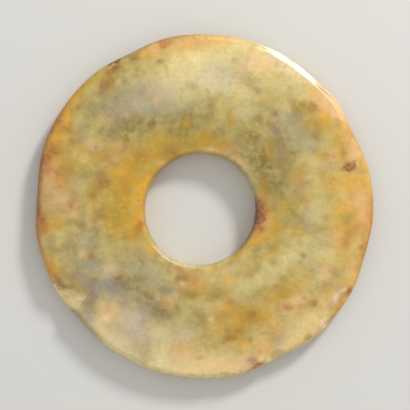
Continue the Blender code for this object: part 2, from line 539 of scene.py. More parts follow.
@dataclass(frozen=True)
class Patch:
    """An oval stain that goes down into the stone; a few are painted shade."""

    x: float
    y: float
    length: float  # half its long size
    width: float
    strength: float
    turn: float = 0.0
    crisp: float = 1.0  # 1 fades like a bell, 3 has an edge

    def cover(self, places: Array) -> Array:
        """Strength times exp(-d^(2 crisp)), with d the distance from the middle in half sizes.

        Args:
            places: Points as rows whose first two numbers are x and y.

        Returns:
            Share of each point that the stain covers.
        """
        along, across = along_and_across(places, (self.x, self.y), self.turn)
        square = (along / self.length) ** 2 + (across / self.width) ** 2
        return self.strength * np.exp(-square ** self.crisp)


@dataclass(frozen=True)
class EdgeBand:
    """A stain that follows the rim or the hole's edge; some are painted light, shade and highlights."""

    facing: float
    spread: float  # half the arc, in degrees
    width: float
    strength: float
    at_hole: bool = False

    def cover(self, angle: Array, distance: Array) -> Array:
        """Bell curve of the distance from the edge, times a flat-topped bell of the angle."""
        inward = np.exp(-(distance / self.width) ** 2)
        return self.strength * inward * flat_bell(angle, self.facing, self.spread)


def patches(*rows: tuple[float, ...]) -> tuple[Patch, ...]:
    """Oval stains from rows of x, y, half length, half width, strength, and maybe turn and crispness."""
    return tuple(Patch(*row) for row in rows)


def bands(*rows: tuple[float, ...], at_hole: bool = False) -> tuple[EdgeBand, ...]:
    """Stains along an edge from rows of facing, half arc, width and strength."""
    return tuple(EdgeBand(*row, at_hole) for row in rows)


# Bands go before patches, and each list runs anticlockwise from +X.
STAINS_AND_PAINTED_LIGHT: dict[Tint, tuple[Patch | EdgeBand, ...]] = {
    Tint.PALE: bands((28, 9, 2.6, 0.3), (30, 17, 1.9, 0.8), at_hole=True) + patches(
        (46, 3, 5, 3, 0.45), (44, 9, 4, 3, 0.55, 30), (41, 18, 3.4, 3, 0.4), (46, 25, 4, 2.6, 0.25, 80),
        (37, 27, 4, 3.5, 0.35, 90), (33.5, 29.5, 2.4, 2, 0.55), (29, 33, 5, 1.5, 0.4, 90),
        (35, 43, 6, 4, 0.45, -20), (15, 25, 3, 3, 0.2), (15, 38, 4.5, 3.2, 0.55), (8, 30, 7, 3, 0.35),
        (10, 45, 6, 4, 0.45, 20), (6, 54, 5, 4.5, 0.55), (2, 46, 5, 4, 0.7), (-1, 40, 6, 3, 0.4),
        (-2, 32, 3, 2, 0.3), (-10, 43, 7, 6, 0.65, 20), (-45, 31, 3, 2.4, 0.35), (-43, 24, 5, 4, 0.35, 30),
        (-46, -13, 4, 3, 0.3, 20), (-36, -16, 5, 3.5, 0.4, 20), (-29.5, -16.5, 5, 3, 0.35),
        (-26, -16, 3.4, 2.4, 0.4), (-50, -37, 2.6, 2, 0.5, -30), (-20, -25, 5, 3.5, 0.45, -20),
        (-9, -46, 7, 4, 0.45, 10), (0, -38, 6, 2.4, 0.55), (14, -32.5, 5, 2.8, 0.8, 10),
        (27, -42, 3.2, 2.6, 0.45, 60), (20, -29, 5.5, 2.2, 0.7, 10), (33, -45, 3.6, 3.2, 0.45),
        (16, -19, 4, 2, 0.5, 30), (25, -24, 4, 2.4, 0.7, 10), (40, -29, 5, 3, 0.5), (40, -28, 2.6, 2.2, 0.35),
        (42, -26.5, 3, 2.2, 0.35), (33, -20, 5.5, 3.6, 0.9, 15), (27, -12, 3, 2.4, 0.3),
        (42, -17, 4.5, 4, 0.8, 60), (45, -13, 3.4, 3, 0.4, 60), (49, -13, 3, 3, 0.35), (28, -5, 3, 3, 0.4),
        (41, -3, 4, 3.4, 0.5, 20),
    ),
    Tint.CREAM: bands(
        # Painted light over the pale stone: the bands at 238, 265 and 285 degrees lighten the lower-left and
        # bottom rim, which faces away from the lamp. The wide band at 330 degrees is painted light too: it
        # brightens the right side a little, in place of the shading of a more sloping face.
        (50, 22, 6, 0.14), (238, 30, 4, 0.75), (265, 40, 3.4, 0.55), (285, 24, 1.6, 0.5), (330, 62, 26, 0.1),
    ) + patches(
        (48, 0, 5, 5, 0.1), (53, 6, 3, 3, 0.3), (51, 8, 4, 3, 0.3, 90), (56.5, 17.5, 3, 2.4, 0.3),
        (50, 22, 7, 5, 0.25, 100), (45, 36.5, 3, 2, 0.25, -40), (48, 42, 5, 4, 0.15, -50),
        (45, 42, 6, 4, 0.12, -50), (40, 44, 7, 4, 0.4, -45), (34, 50, 9, 4, 0.65, -40),
        (33, 53, 8, 4, 0.15, -35), (26, 46, 6, 3.4, 0.55, -30), (18, 43, 4, 3, 0.5),
        (22, 54, 9, 4.5, 0.7, -25), (18, 51, 9, 9, 0.12), (18.5, 58, 3.5, 2, 0.35, -15),
        (18, 57, 7, 5, 0.15, -15), (18, 60, 6, 3, 0.15, -15), (14, 60, 8, 2.8, 0.6, -15),
        (8, 59, 12, 4, 0.65, -8), (5, 37, 3, 2, 0.25), (-5, 56, 6, 4, 0.7), (-8, 60, 8, 4, 0.14),
        (-9, 60, 7, 4, 0.12), (-8, 52, 12, 7, 0.8, 10), (-13, 45, 5, 4, 0.35), (-22, 56, 3, 2.2, 0.25, 25),
        (-37, 54, 4, 2.5, 0.12, 35), (-21, 12.5, 2.4, 1.5, 0.25, 55), (-24, -12, 4, 3, 0.1),
        (-54, -33.5, 2.4, 1.4, 0.25, -35), (-37, -25, 3, 2, 0.35), (-49.5, -35.2, 3, 2, 0.4, -20, 2),
        (-43, -44, 4, 2.4, 0.6, -45), (-37, -42.3, 1.6, 2.4, 0.9), (-38, -46, 6, 4, 0.65, -45),
        (-16, -20, 4, 3, 0.12), (-32, -53, 7, 3, 0.7, -35), (-31, -53, 7, 4, 0.35, -35),
        (-31, -54, 6, 2.4, 0.7, -32), (-18, -48, 5, 4, 0.45), (-7.5, -24.8, 2.6, 1.4, 0.35),
        (-16, -56, 9, 6, 0.7, -20), (-16.5, -59, 2.6, 1.8, 0.7, -10), (-1, -46, 3, 2.4, 0.3),
        (-1, -52, 6, 4, 0.3), (0, -61, 20, 4.5, 0.9), (2, -48, 10, 7, 0.09), (2.6, -42.6, 1.5, 1.3, 0.55),
        (4, -57, 10, 4, 0.5), (3, -26, 5, 2, 0.4, 10), (7, -31, 4, 2, 0.2), (9, -23.5, 2.4, 1.3, 0.3, 20),
        (19, -46, 3, 2, 0.3), (22, -52, 4, 3, 0.3, 60), (15, -28, 7, 2.6, 0.25, 5),
        (29, -54, 4, 2.2, 0.45, 20), (30, -55, 7, 4, 0.12, 20), (32, -54, 7, 4, 0.12, 20),
        (33, -52, 5, 2.6, 0.9, 25), (39, -46, 6, 3.6, 0.7, 40), (15.5, -18, 3.2, 1.5, 0.35, 45),
        (38, -40, 6, 5, 0.25), (43, -43, 4, 3, 0.3, 40), (49, -41, 2.2, 1.2, 0.25, 50),
        (47, -38, 6, 4, 0.4, 55), (48, -33, 3, 2.4, 0.3), (33, -21, 6, 3.4, 0.25, 20),
        (54.5, -24, 3, 2.2, 0.25, 65), (56.5, -23, 3, 2.2, 0.4, 65), (57, -18, 4, 2.2, 0.4, 70),
        (58, -15, 4, 3, 0.3, 80), (56, -13, 2, 3, 0.25),
    ),
    # The band at 224 degrees is painted shade along the lower-left rim, which faces away from the lamp.
    Tint.SAGE: bands((224, 9, 2.6, 0.45)) + bands((44, 26, 4, 0.35), at_hole=True) + patches(
        (31, 12, 6, 5, 0.35, 60), (24, 11, 2, 2, 0.4), (39, 24, 4, 4, 0.4), (33, 24, 7, 6, 0.55, 60),
        (38, 28, 3, 2.4, 0.3), (34, 33, 6, 3.6, 0.75), (24, 37, 4, 5, 0.25), (14, 23, 6, 4, 0.45, -30),
        (5, 51, 4, 3, 0.2), (-8, 52, 3, 2.4, 0.25), (-10, 36, 9, 3, 0.45), (-20, 37, 9, 5, 0.55, 10),
        (-22, 36.5, 2.4, 1.6, 0.4), (-29, 41, 12, 6, 0.75, 15), (-36, 36, 6, 5, 0.4),
        (-44, 42, 4, 2.4, 0.3, 40), (-60, -13, 2.4, 1.6, 0.5), (-45, -14, 6, 5, 0.55, 30),
        (-52, -20, 3, 4, 0.3), (-44, -23, 6, 4, 0.7, 20), (-44, -27, 4, 3, 0.5, 60), (-27, -17, 6, 3, 0.55),
        (-25, -17, 4, 2.4, 0.35, -20), (-36, -30, 4, 2.2, 0.6), (-37, -32, 6, 3, 0.7),
        (-27, -24, 5, 2.6, 0.5, -10), (-34, -33, 5, 2.6, 0.7, -10), (-22, -24, 7, 4, 0.55, -20),
        (-20, -31, 3, 2, 0.4), (-18, -29, 5, 2.6, 0.5, -20), (-24, -41, 5, 2.4, 0.4, -20),
        (-22.5, -56.5, 3.4, 2.6, 0.4, 20), (8.5, -23.5, 2, 1.6, 0.7), (20, -46, 4, 2.5, 0.4),
        (27, -54, 2.4, 2.4, 0.55), (41, -17, 6, 3, 0.3, 60), (51, -13, 3, 3, 0.25), (39, -7, 4, 2.5, 0.55),
        (41, -2, 3, 2.6, 0.35),
    ),
    # The bands at 224 and 226 degrees are painted shade along the lower-left rim, which faces away from the
    # lamp. The band at the hole's edge at 220 degrees is painted shade too: it dims the hole's lower-left
    # edge, which the lamp lights.
    Tint.OLIVE: bands((224, 9, 1.8, 0.4), (226, 8, 3.5, 0.2)) + bands(
        (52, 8, 2.6, 0.25), (220, 20, 1.5, 0.35), at_hole=True,
    ) + patches(
        (36, 3, 2.4, 2.4, 0.4), (29, 3, 6, 5, 0.4), (26, 8, 6, 4, 0.65), (30, 13, 4.5, 3, 0.55, 90),
        (46, 20, 4, 2.6, 0.3), (32, 18, 6, 8, 0.06), (33, 19, 4, 3, 0.35, 80),
        (42, 26.3, 1.8, 1.2, 0.6, 0, 2), (38, 28, 3, 2.4, 0.2), (40.5, 30.5, 3.4, 3, 0.3),
        (22, 17, 8, 5, 0.85, 95), (30, 24, 5, 5, 0.07), (28, 24, 5, 4, 0.5, 90), (35, 33.5, 2, 3, 0.3),
        (36, 35, 3, 2.2, 0.35), (37, 38.4, 1.3, 1.1, 0.7, 0, 2), (16.5, 17.5, 4, 1.8, 0.45, -45),
        (36.5, 45.5, 4, 3, 0.28, -30), (26.5, 35, 1.6, 1.1, 0.7, 0, 2), (17, 26, 5, 4.5, 0.6, -20),
        (22, 39, 3, 2.4, 0.25), (24, 45, 5, 2.2, 0.35, 10), (10, 30, 7, 5, 0.07), (8, 29, 8, 5, 0.06),
        (7, 28, 9, 7, 0.11), (6, 28, 5, 2, 0.3, -15), (2, 38.5, 3, 1.6, 0.45, 30), (1, 23.6, 6, 1.8, 0.3),
        (-4, 27.5, 2, 2, 0.4), (-5, 33, 8, 3.2, 0.6), (-5, 25.3, 3, 2, 0.35), (-6, 30, 3, 2.4, 0.35),
        (-7, 24, 3, 2, 0.4), (-10, 27.5, 6, 4.5, 0.7), (-17.5, 42, 2.2, 2, 0.25), (-18, 42, 3, 2, 0.2),
        (-28, 57, 3.2, 1.6, 0.7, 25), (-29, 50, 3, 2, 0.25), (-19, 31, 2.4, 1.7, 0.7),
        (-24, 33, 2, 1.6, 0.35), (-33, 42, 3, 2.2, 0.2), (-23, 28, 6, 4, 0.45, 20),
        (-38, 46, 2.2, 1.4, 0.5, 50), (-39, 38, 6, 4, 0.35, 30), (-30, 28.5, 4.6, 3.2, 0.75, 90),
        (-35, 32, 4, 3, 0.3), (-30, 25, 1.5, 1.5, 0.45, 0, 2), (-44, 36, 3, 3, 0.25), (-35, 28, 8, 9, 0.1),
        (-48, 38, 1.4, 1.3, 0.55), (-34, 25, 7, 6, 0.08), (-41, 4, 3, 2, 0.4, 60), (-33, -2, 4, 5, 0.3),
        (-40, -11, 3.4, 2.4, 0.3), (-59, -17, 3.4, 2.4, 0.45, 60), (-33, -17, 6, 4, 0.1),
        # The thin patches at (-53, -31.2) and (-50, -30.5) are painted shadow along the upper wall of the
        # splinter's scar.
        (-49, -28, 5, 2.4, 0.55), (-53, -31.2, 2.6, 1, 0.6, -20), (-50, -30.5, 5, 1.5, 0.6, -12),
        (-33, -27.2, 2.6, 1.4, 0.55, -10), (-24.2, -21.5, 2.4, 1.6, 0.45, 90), (-17, -17, 2.6, 1.6, 0.3, -40),
        (-26, -28, 5, 2, 0.35, -10), (-28, -31.5, 5, 2.2, 0.55, -20), (-20, -35.3, 4.5, 1.6, 0.85, -22),
        (-28, -55, 3, 1.6, 0.3, -25), (-17, -40, 5, 1.9, 0.7, -12), (-22, -52, 5, 1.6, 0.35, 95),
        (-22.5, -57.5, 3.2, 2, 0.3, 20), (-12, -40.5, 3.4, 2, 0.35, -10), (-10, -47.5, 4, 2, 0.15),
        (-3, -43, 5, 4, 0.45), (-1, -30, 3, 2, 0.25), (0, -49, 5, 3, 0.4), (5, -33, 5, 2.4, 0.35),
        (5, -27, 3, 2, 0.3), (14, -38.6, 3.4, 1.4, 0.55, -10), (20, -41, 3, 2.4, 0.5),
        (26, -35.4, 2.4, 1.7, 0.55), (39.5, -49.8, 1.5, 1.2, 0.7, 30, 2), (19, -16, 3.6, 2.2, 0.45),
        (37.3, -18.5, 1.6, 1.1, 0.5, 0, 2), (36, -9, 3, 3, 0.3), (31, -5, 5, 4, 0.4),
    ),
    Tint.LILAC: patches(
        (48, 15, 3, 1.8, 0.45), (44, 16, 2.6, 2, 0.4), (41.5, 24, 2, 1.6, 0.5, 90), (14, 36, 4, 2, 0.3),
        (14, 54, 3, 2.4, 0.45, 90), (4, 49, 8, 5, 0.35), (-14, 44, 6, 4, 0.45, 15),
        (-18, 41, 2.6, 1.8, 0.4, 80), (-21, 46, 5, 3, 0.35), (-25, 39, 4, 3, 0.4), (-60, 9, 4, 2.2, 0.7, 85),
        (-58, 0, 5, 3, 0.35, 85), (-47, -29, 4, 2.4, 0.2), (-36, -24.4, 3.2, 1.1, 0.7, -12),
        (-37, -26.5, 3.4, 1.4, 0.8, 50), (-45, -40, 4, 3, 0.3, -45), (-44, -43, 4, 3, 0.35, -45),
        (-43, -44, 4, 3, 0.5, -45), (-34, -36, 5, 2.4, 0.35, -20), (-26, -34, 3, 1.6, 0.4, -20),
        (-33, -48, 5, 4, 0.45, -40), (-28, -43.5, 6.5, 5, 0.9, -25), (-30, -55, 8, 3, 0.4, -33),
        (-25, -49, 5, 4, 0.7), (-17.8, -35, 1.8, 1.4, 0.5), (-17, -51, 5, 3, 0.4),
        (-14, -59, 7, 3, 0.35, -10), (-11, -55, 4, 2.6, 0.3), (-9, -49, 4.4, 3.6, 0.6),
        (17.4, -58.6, 1.6, 1.4, 0.9), (28, -50, 2.8, 2.6, 0.7), (42, -24, 2.6, 1.3, 0.7),
    ),
    Tint.MAUVE: patches(
        (35, 6, 2, 3.4, 0.35), (28, 20, 4, 1.8, 0.55, 90), (27, 29, 3.4, 2, 0.6, 90),
        (20, 44.5, 1.8, 1.3, 0.55, 120), (15, 50, 3.4, 2, 0.3, 90), (-1, 37.5, 3, 1.6, 0.3),
        (-3, 29, 1.6, 1.5, 0.4), (-38.5, 44.5, 2.3, 1.5, 0.8, 80), (-33, 35, 3, 2, 0.3, 60),
        (-32, 32, 3.4, 2.6, 0.45, 90), (-36.5, 24.5, 2.2, 1.6, 0.4), (-47, 28, 3.4, 2.4, 0.35, 80),
        (-46, 26, 3, 2, 0.25, 60), (-38.9, 11.4, 2.2, 1.8, 0.75, 80), (-47, 9, 2.4, 3, 0.3),
        (-41.6, -6.3, 1.5, 1.1, 0.5, 60), (-43, -29.5, 3.4, 1.9, 0.55, 70), (-44, -34.5, 2.2, 4, 0.3, -15),
        (-42, -34.6, 2.6, 2, 0.8, 60), (-46.5, -40, 3.5, 2.5, 0.25, -40), (-48, -42, 4.5, 3.5, 0.28),
        (-44, -40, 3.4, 3, 0.45), (-29, -28.5, 5, 2.4, 0.4, -10), (-30, -30, 7, 2.2, 0.4, -15),
        (-31, -36, 3, 1.6, 0.3, -20), (-24, -37, 5, 2, 0.45, -30), (-20, -38, 4.4, 1.8, 0.35, -20),
        (-13, -32, 3, 1.8, 0.4, -20), (-16, -43, 5, 2.4, 0.55, -20), (18.5, -35.5, 3, 2, 0.4),
        (27, -50, 3.4, 2, 0.5, 70), (26.5, -21.6, 1.4, 1.3, 0.55), (25, -15.5, 1.7, 1.4, 0.75, 90),
        (52.3, -31, 2, 1.6, 0.55, 30),
    ),
    Tint.SLATE: patches(
        (24, 26, 1.7, 4.4, 0.35), (-35, 26.5, 3, 2, 0.3), (-47.5, -27.5, 3, 2.4, 0.3),
        (-43, -30, 3.4, 1.9, 0.5, 70), (-42.3, -35, 2.6, 2, 0.55, 60), (-36, -30.5, 3.4, 1.7, 0.5),
        (-44, -43.5, 3.4, 2.4, 0.3, -45), (-33, -33, 4, 1.6, 0.35, -25), (-24, -40, 4, 2, 0.3, -25),
        (-13, -33, 3.4, 1.8, 0.3, -20), (55, -33, 1.6, 1.2, 0.4, 50),
    ),
    Tint.GOLD: bands((0, 50, 5, 0.55), (150, 24, 4.5, 0.7)) + bands(
        (150, 56, 4, 0.9), (320, 26, 2.2, 0.6), at_hole=True,
    ) + patches(
        (30.5, 0, 3, 2.4, 0.6), (60, 2, 4, 5, 0.14), (60, 2, 2.4, 3, 0.3), (36, 3, 2.4, 2, 0.35),
        (24, 3, 3, 2.4, 0.55, 90), (50, 9, 5, 3.4, 0.55, 90), (45, 12, 5, 3, 0.5, 90),
        (33.5, 10.5, 1.6, 3, 0.5), (36.5, 12, 2.4, 1.8, 0.8, 90), (52, 18, 3, 2.4, 0.55, 90),
        (22, 8.5, 2.4, 1.8, 0.6, 90), (45, 18.5, 2.4, 1.7, 0.55), (52, 22, 3, 3, 0.4),
        (38, 16.5, 1.7, 1.4, 0.55, 90), (46, 20.5, 4, 2.4, 0.5), (51, 26, 3.4, 2.4, 0.7, 100),
        (32, 18, 6, 8, 0.06), (46, 32, 4, 3.4, 0.9, -40), (40.5, 31, 4, 3, 0.5), (25, 22, 4.4, 2.2, 0.55, 95),
        (38, 37, 3.4, 2.4, 0.4), (36, 37.5, 4, 2.4, 0.3, -30), (39, 45, 5, 2.4, 0.3, -45),
        (15, 25, 3, 3, 0.25), (25, 42, 3.4, 2.4, 0.35), (10, 32, 3.2, 1.6, 0.55, 90),
        (7, 23.5, 4, 2.4, 0.8, -25), (8, 36, 4, 2, 0.35), (0, 25, 5, 3.5, 0.95, -10),
        (-7, 31.5, 3, 2.4, 0.55, 20), (-10, 23.5, 5, 2, 0.5, 10), (-12, 25, 5, 3, 0.12),
        (-18, 26, 5, 3, 0.5, 20), (-35, 47.6, 3, 1.4, 0.3, 50), (-15, 20, 7, 4, 0.15, 30),
        (-15, 19.5, 4, 3, 0.3, 30), (-39, 50, 3, 1.8, 0.55, 40), (-36, 44.5, 2.4, 1.4, 0.45),
        (-16.3, 17.7, 3, 1.8, 0.45, -45), (-20, 20, 7, 3, 0.9, 30), (-47, 43.5, 3.4, 2.4, 0.55, 45),
        (-24, 21, 5, 3, 0.4, 20), (-20, 16, 5, 3, 0.7, 40), (-33, 24, 4, 2, 0.4, 10), (-36, 26, 8, 9, 0.04),
        (-35, 20, 4, 3, 0.55), (-30, 15, 5, 4, 0.6), (-29, 13, 7, 6, 0.9, 60), (-41, 18, 4, 2.6, 0.6, 10),
        (-30, 11, 4, 3, 0.4), (-50, 17, 5, 4, 0.5, 80), (-56.5, 17, 3, 5, 0.7), (-57, 15, 6, 6, 0.18),
        (-33, 8, 6, 4, 0.4), (-54.5, 13, 3, 2.4, 0.35), (-57, 13.5, 2.6, 2, 0.4), (-41, 7, 6, 3.4, 0.45, 70),
        (-30, 4, 6, 9, 0.9), (-38, 1, 5, 6, 0.4), (-42, 1, 7, 5, 0.09), (-57, -6, 4.4, 2.8, 0.8),
        (-28, -5, 3, 2.4, 0.45), (-33, -6, 6, 5, 0.8, 20), (-58, -22, 4, 2.4, 0.85, 110),
        (-27, -11, 5, 4, 0.7), (-57.5, -25, 4, 2, 0.7, 118), (-48.4, -28.9, 1.3, 1, 0.6),
        (-30, -18, 6, 3, 0.3), (-24.5, -16, 3, 2, 0.22), (-10, -47.5, 4, 2.2, 0.25),
        (-4, -32, 5, 3, 0.55, -10), (-2, -52, 6, 3, 0.3), (5.5, -46, 4, 3, 0.5), (7, -40, 5, 3.4, 0.45),
        (7, -32, 4, 3, 0.4), (12, -49, 5, 3.4, 0.8, 10), (14, -42, 8, 5, 0.8, 20), (18, -41, 4, 3, 0.4),
        (23, -42, 5, 3.4, 0.5, 60), (21, -33, 3, 1.4, 0.3), (17, -23, 6, 3, 0.25, 30),
        (30, -33, 4.5, 3, 0.55), (37, -39, 4, 3, 0.35), (33, -34, 5, 3, 0.3), (41.5, -37, 2.4, 2, 0.45),
        (34, -30, 6, 5, 0.35, 20), (47, -32, 2.2, 1.8, 0.55, 90), (39, -25, 4, 3, 0.4, 60),
        (27, -17, 4, 3, 0.5, 60), (21.5, -11.5, 3.4, 2, 0.85, -50), (56, -20, 6, 4, 0.55, 70),
        (26, -8, 4.5, 3.4, 0.9, 80), (54, -12, 5, 3, 0.7, 95), (24.5, -3, 2, 3, 0.5),
        (53, -3, 6, 5, 0.55, 90),
    ),
    Tint.AMBER: bands(
        # The wide band at 330 degrees is painted light: it brightens the right side a little, in place of the
        # shading of a more sloping face.
        (160, 14, 8, 0.16), (172, 18, 8, 0.1), (330, 62, 26, 0.06), (352, 26, 2.6, 0.5),
    ) + patches(
        (53, 0, 5, 4, 0.5, 90), (56, 2, 3, 2.4, 0.35), (40, 3, 2, 1.6, 0.35), (57, 8.5, 4, 3.4, 0.8, 90),
        (49, 8, 4, 3, 0.3), (53, 9.5, 3, 3, 0.3), (51.5, 20, 2, 2.4, 0.55), (54, 24.5, 3, 2.4, 0.35),
        (53, 30, 3, 2, 0.8, -60), (46, 32.5, 3.4, 2.4, 0.45, -50), (45, 35.5, 3.4, 2, 0.8, -40),
        (42, 43, 2.4, 1.7, 0.7, 100), (25, 51.5, 4, 2, 0.35, -20), (2, 63, 9, 2.4, 0.7),
        (-8, 60.5, 6, 3, 0.7, 10), (-20, 59, 5, 2, 0.7, 20), (-21, 20.5, 3, 1.8, 0.3, 30),
        (-50.5, 39.5, 2.6, 1.6, 0.6, 50), (-52.5, 34, 3.4, 2.4, 0.65, 60), (-53, 29, 5, 3, 0.5, 60),
        (-48, 23, 3, 2.4, 0.35), (-43, 20, 3, 2, 0.25), (-57, 26.5, 3.2, 2.4, 0.9, 65),
        (-30, 13.5, 3.4, 2.4, 0.45), (-33, 13, 3, 2, 0.2), (-57, 22, 3, 2.4, 0.4),
        (-22, 7.5, 4, 1.7, 0.8, 70), (-59, 20, 2.6, 3, 0.3), (-31, 10, 4, 2.6, 0.3), (-56, 18, 3, 4, 0.45),
        (-29, 9, 3, 2, 0.2), (-60, 17, 4, 2.4, 0.4, 75), (-55, 12, 4, 4, 0.45), (-58, 12, 3, 2.6, 0.25),
        (-55, 9, 3.4, 2.6, 0.5, 70), (-25, 4, 5, 2.4, 0.5, 80), (-58, -1, 3, 2, 0.35),
        (-57, -6.5, 3.4, 2, 0.4), (-25, -3, 5, 2, 0.4, 90), (-60, -9.5, 2.4, 2, 0.6),
        (-23, -5, 4.5, 2, 0.8, 85), (-27, -8, 3, 2, 0.3, 60), (-26.5, -8, 3, 2, 0.6, 60),
        (-59, -23, 3.4, 1.8, 0.55, 110), (-20.5, -16.5, 2.4, 1.8, 0.6, -50), (-10, -54, 4, 3, 0.4),
        (-3.5, -28.5, 3, 2.2, 0.55), (4, -24, 4, 1.4, 0.55, 10), (9, -39, 4, 2.4, 0.4),
        (13, -52.5, 4, 2, 0.35), (13, -47, 3, 2, 0.3), (15, -53, 2, 1.4, 0.6), (9, -28.4, 1.7, 1.4, 0.7),
        (22, -55, 3.2, 2.8, 0.8), (22, -41, 3.4, 2.4, 0.3, 60), (26, -47, 4, 3, 0.6, 60),
        (34, -52.6, 2.4, 1.6, 0.4, 20), (25.5, -35, 3, 2, 0.4), (31, -39, 6, 5, 0.12),
        (15.5, -18, 3.2, 1.5, 0.3, 45), (31, -31.6, 3, 2, 0.3), (46, -35.5, 3, 2, 0.25),
        (50, -37.4, 2.4, 1.4, 0.3, 50), (51.5, -38.5, 2.8, 1.4, 0.9, 60), (20, -14, 3.4, 2, 0.5, 50),
        (54, -36, 4, 4, 0.14), (57.5, -26, 3.4, 2, 0.8, 70), (52.5, -14, 5, 2.2, 0.4, 85),
        (35, -9, 3, 2, 0.35), (24, -6, 4, 4, 0.1), (52, -12, 3, 2.4, 0.4), (23.6, -5, 1.8, 3, 0.3),
        (50.5, -8.5, 3, 2.6, 0.4), (57, -9, 3.4, 2.4, 0.55, 60), (58.5, -8, 3, 3, 0.35),
        (60, -4, 4, 3, 0.8, 90),
    ),
    Tint.PEACH: bands(
        (30, 14, 5.5, 0.25), (40, 6.5, 2.8, 0.85), (180, 26, 3.5, 0.3), (218, 10, 2, 0.15),
        # The wide band at 330 degrees is painted light: it brightens the right side a little, in place of the
        # shading of a more sloping face.
        (330, 62, 26, 0.04), (343, 11, 5, 0.15),
    ) + patches(
        (61, 0, 5, 2.4, 0.5, 90), (56, 2, 3, 2.4, 0.25), (59, 3, 2.6, 3.4, 0.5), (38, 9.6, 3, 1.8, 0.35, 100),
        (57, 19, 5, 2.8, 0.65, 105), (49, 20, 2.4, 1.8, 0.7, 90), (50, 37, 5.5, 3, 0.95, -55),
        (46, 40, 4, 2.4, 0.55, -45), (12, 17, 4.4, 1.4, 0.55, -42), (33, 52.5, 5, 2.6, 0.55, -35),
        (22, 55, 5, 3, 0.55, -20), (18.5, 58, 3.5, 2, 0.25, -15), (14, 44, 2.6, 2.2, 0.4),
        (15, 53, 4, 2.4, 0.3), (3, 21.2, 7, 1.2, 0.55), (2, 63.5, 10, 1.6, 0.55), (-11, 61, 4, 2.4, 0.7, 10),
        (-17, 60.5, 3.4, 1.7, 0.7, 20), (-18, 41.2, 2.6, 1.4, 0.35, 60), (-30, 35, 1.3, 1.1, 0.35),
        (-16, 16.6, 1.8, 1.4, 0.7, 40), (-38, 33, 3.4, 2.6, 0.3), (-32.5, 22.5, 2.5, 2.2, 0.45, 40),
        (-34, 18.8, 3, 1.6, 0.45), (-41.5, 22.5, 2.4, 1.8, 0.5), (-59.5, 17, 3, 4, 0.3),
        (-58, 13, 4, 4, 0.55), (-51, 4, 3, 3, 0.3), (-55.5, 4, 4, 6, 0.5), (-48.5, -1, 3.4, 3, 0.45),
        (-42, -6, 2.6, 2, 0.25), (-45.5, -18.6, 1.6, 1.2, 0.4), (-53, -26, 2.5, 2, 0.12),
        (-37, -24, 2.6, 2, 0.25), (-51, -33.5, 3, 1.4, 0.45, -20), (-50.5, -35.5, 2, 1.6, 0.35),
        (-36, -39.6, 3, 2.2, 0.7, 60), (-35, -45, 5, 4, 0.25, -40), (-10, -24.5, 3, 1.6, 0.35, -20),
        (-14, -36.6, 2.8, 1.7, 0.5, -10), (-12.5, -38, 1.8, 0.9, 0.55, 70), (-8, -29.4, 1.6, 1.1, 0.5, 110),
        (-7, -30, 3, 2.4, 0.12), (-8, -56, 4, 3, 0.35), (-2.5, -28, 3, 2.2, 0.35, 10), (-4, -59, 8, 3.6, 0.4),
        (2, -48, 10, 7, 0.06), (3, -38, 3, 2, 0.2), (8, -60, 9, 3, 0.5, 3), (15, -59.5, 4, 2.4, 0.5, 10),
        (12, -35.5, 2.4, 2, 0.18), (21.4, -57, 2.4, 1.6, 0.3, 20), (9, -23.5, 2.4, 1.3, 0.3, 20),
        (22, -54, 3, 3, 0.35), (31, -53, 3.4, 1.8, 0.55, 20), (31, -48.5, 3, 2, 0.35), (31, -39, 6, 4, 0.1),
        (31.6, -38.6, 2.6, 1.7, 0.55), (41, -46, 4, 2.4, 0.7, 40), (35, -37.5, 5, 2.6, 0.4, 20),
        (35, -35, 3.4, 2.2, 0.55, 90), (45.5, -44, 1.4, 1.1, 0.8, 30, 2), (46, -36, 2.4, 2.4, 0.45),
        (49.6, -35.3, 2.8, 1.8, 0.3, 62), (52, -31, 2.6, 2, 0.3), (47, -26, 2.6, 2, 0.45, 90),
        (47, -24, 3, 2.4, 0.35), (56, -25, 3, 1.8, 0.4, 60), (56.5, -22, 3, 2, 0.3, 65),
        (22.6, -7.5, 1.8, 1.8, 0.4), (20, -6, 4, 5, 0.15), (22, -6, 4, 5, 0.12), (52, -12, 3, 2.4, 0.35),
        (23.6, -5, 1.8, 3, 0.35), (60, -6, 2.4, 3, 0.45),
    ),
    Tint.OCHRE: bands(
        (110, 34, 0.9, 0.5), (122, 1.9, 3.2, 0.7), (170, 26, 2.4, 0.4), (172, 18, 8, 0.1),
        (275, 28, 0.8, 0.35), (326, 5, 3, 0.25), (357, 7, 1.6, 0.4),
    ) + bands((155, 50, 1.2, 0.35), at_hole=True) + patches(
        (24, 5, 3, 2, 0.4, 90), (36.5, 8, 1.6, 2, 0.25), (55, 14.6, 2.7, 1.9, 0.45, 10, 2),
        (54.8, 14.8, 3, 2.1, 0.9, 12, 2), (45, 12.5, 1.3, 1.2, 0.2), (52.5, 20, 2.4, 1.3, 0.45, 90),
        (22.6, 9, 2, 1.6, 0.45, 90), (47.5, 19.5, 3, 1.4, 0.35), (31, 18.5, 3, 2, 0.3, 60),
        (42.3, 25.5, 2, 1.8, 0.3), (41.5, 31, 2.6, 2, 0.35), (25.5, 22, 2.4, 1.6, 0.45, 90),
        (41.2, 37.2, 2.2, 2, 0.75, 110), (24, 31.5, 2.2, 1.6, 0.55, 20), (24.5, 34, 2, 1.6, 0.25),
        (11, 20.5, 4, 1.6, 0.4, -35), (28, 54, 1.5, 1.3, 0.4), (7.5, 23, 2.6, 1.8, 0.3, -30),
        (10, 31.5, 2.8, 1.2, 0.4, 90), (13, 57.5, 3, 2, 0.2), (5, 42, 1.4, 1.3, 0.35), (1, 23.4, 5, 1.6, 0.2),
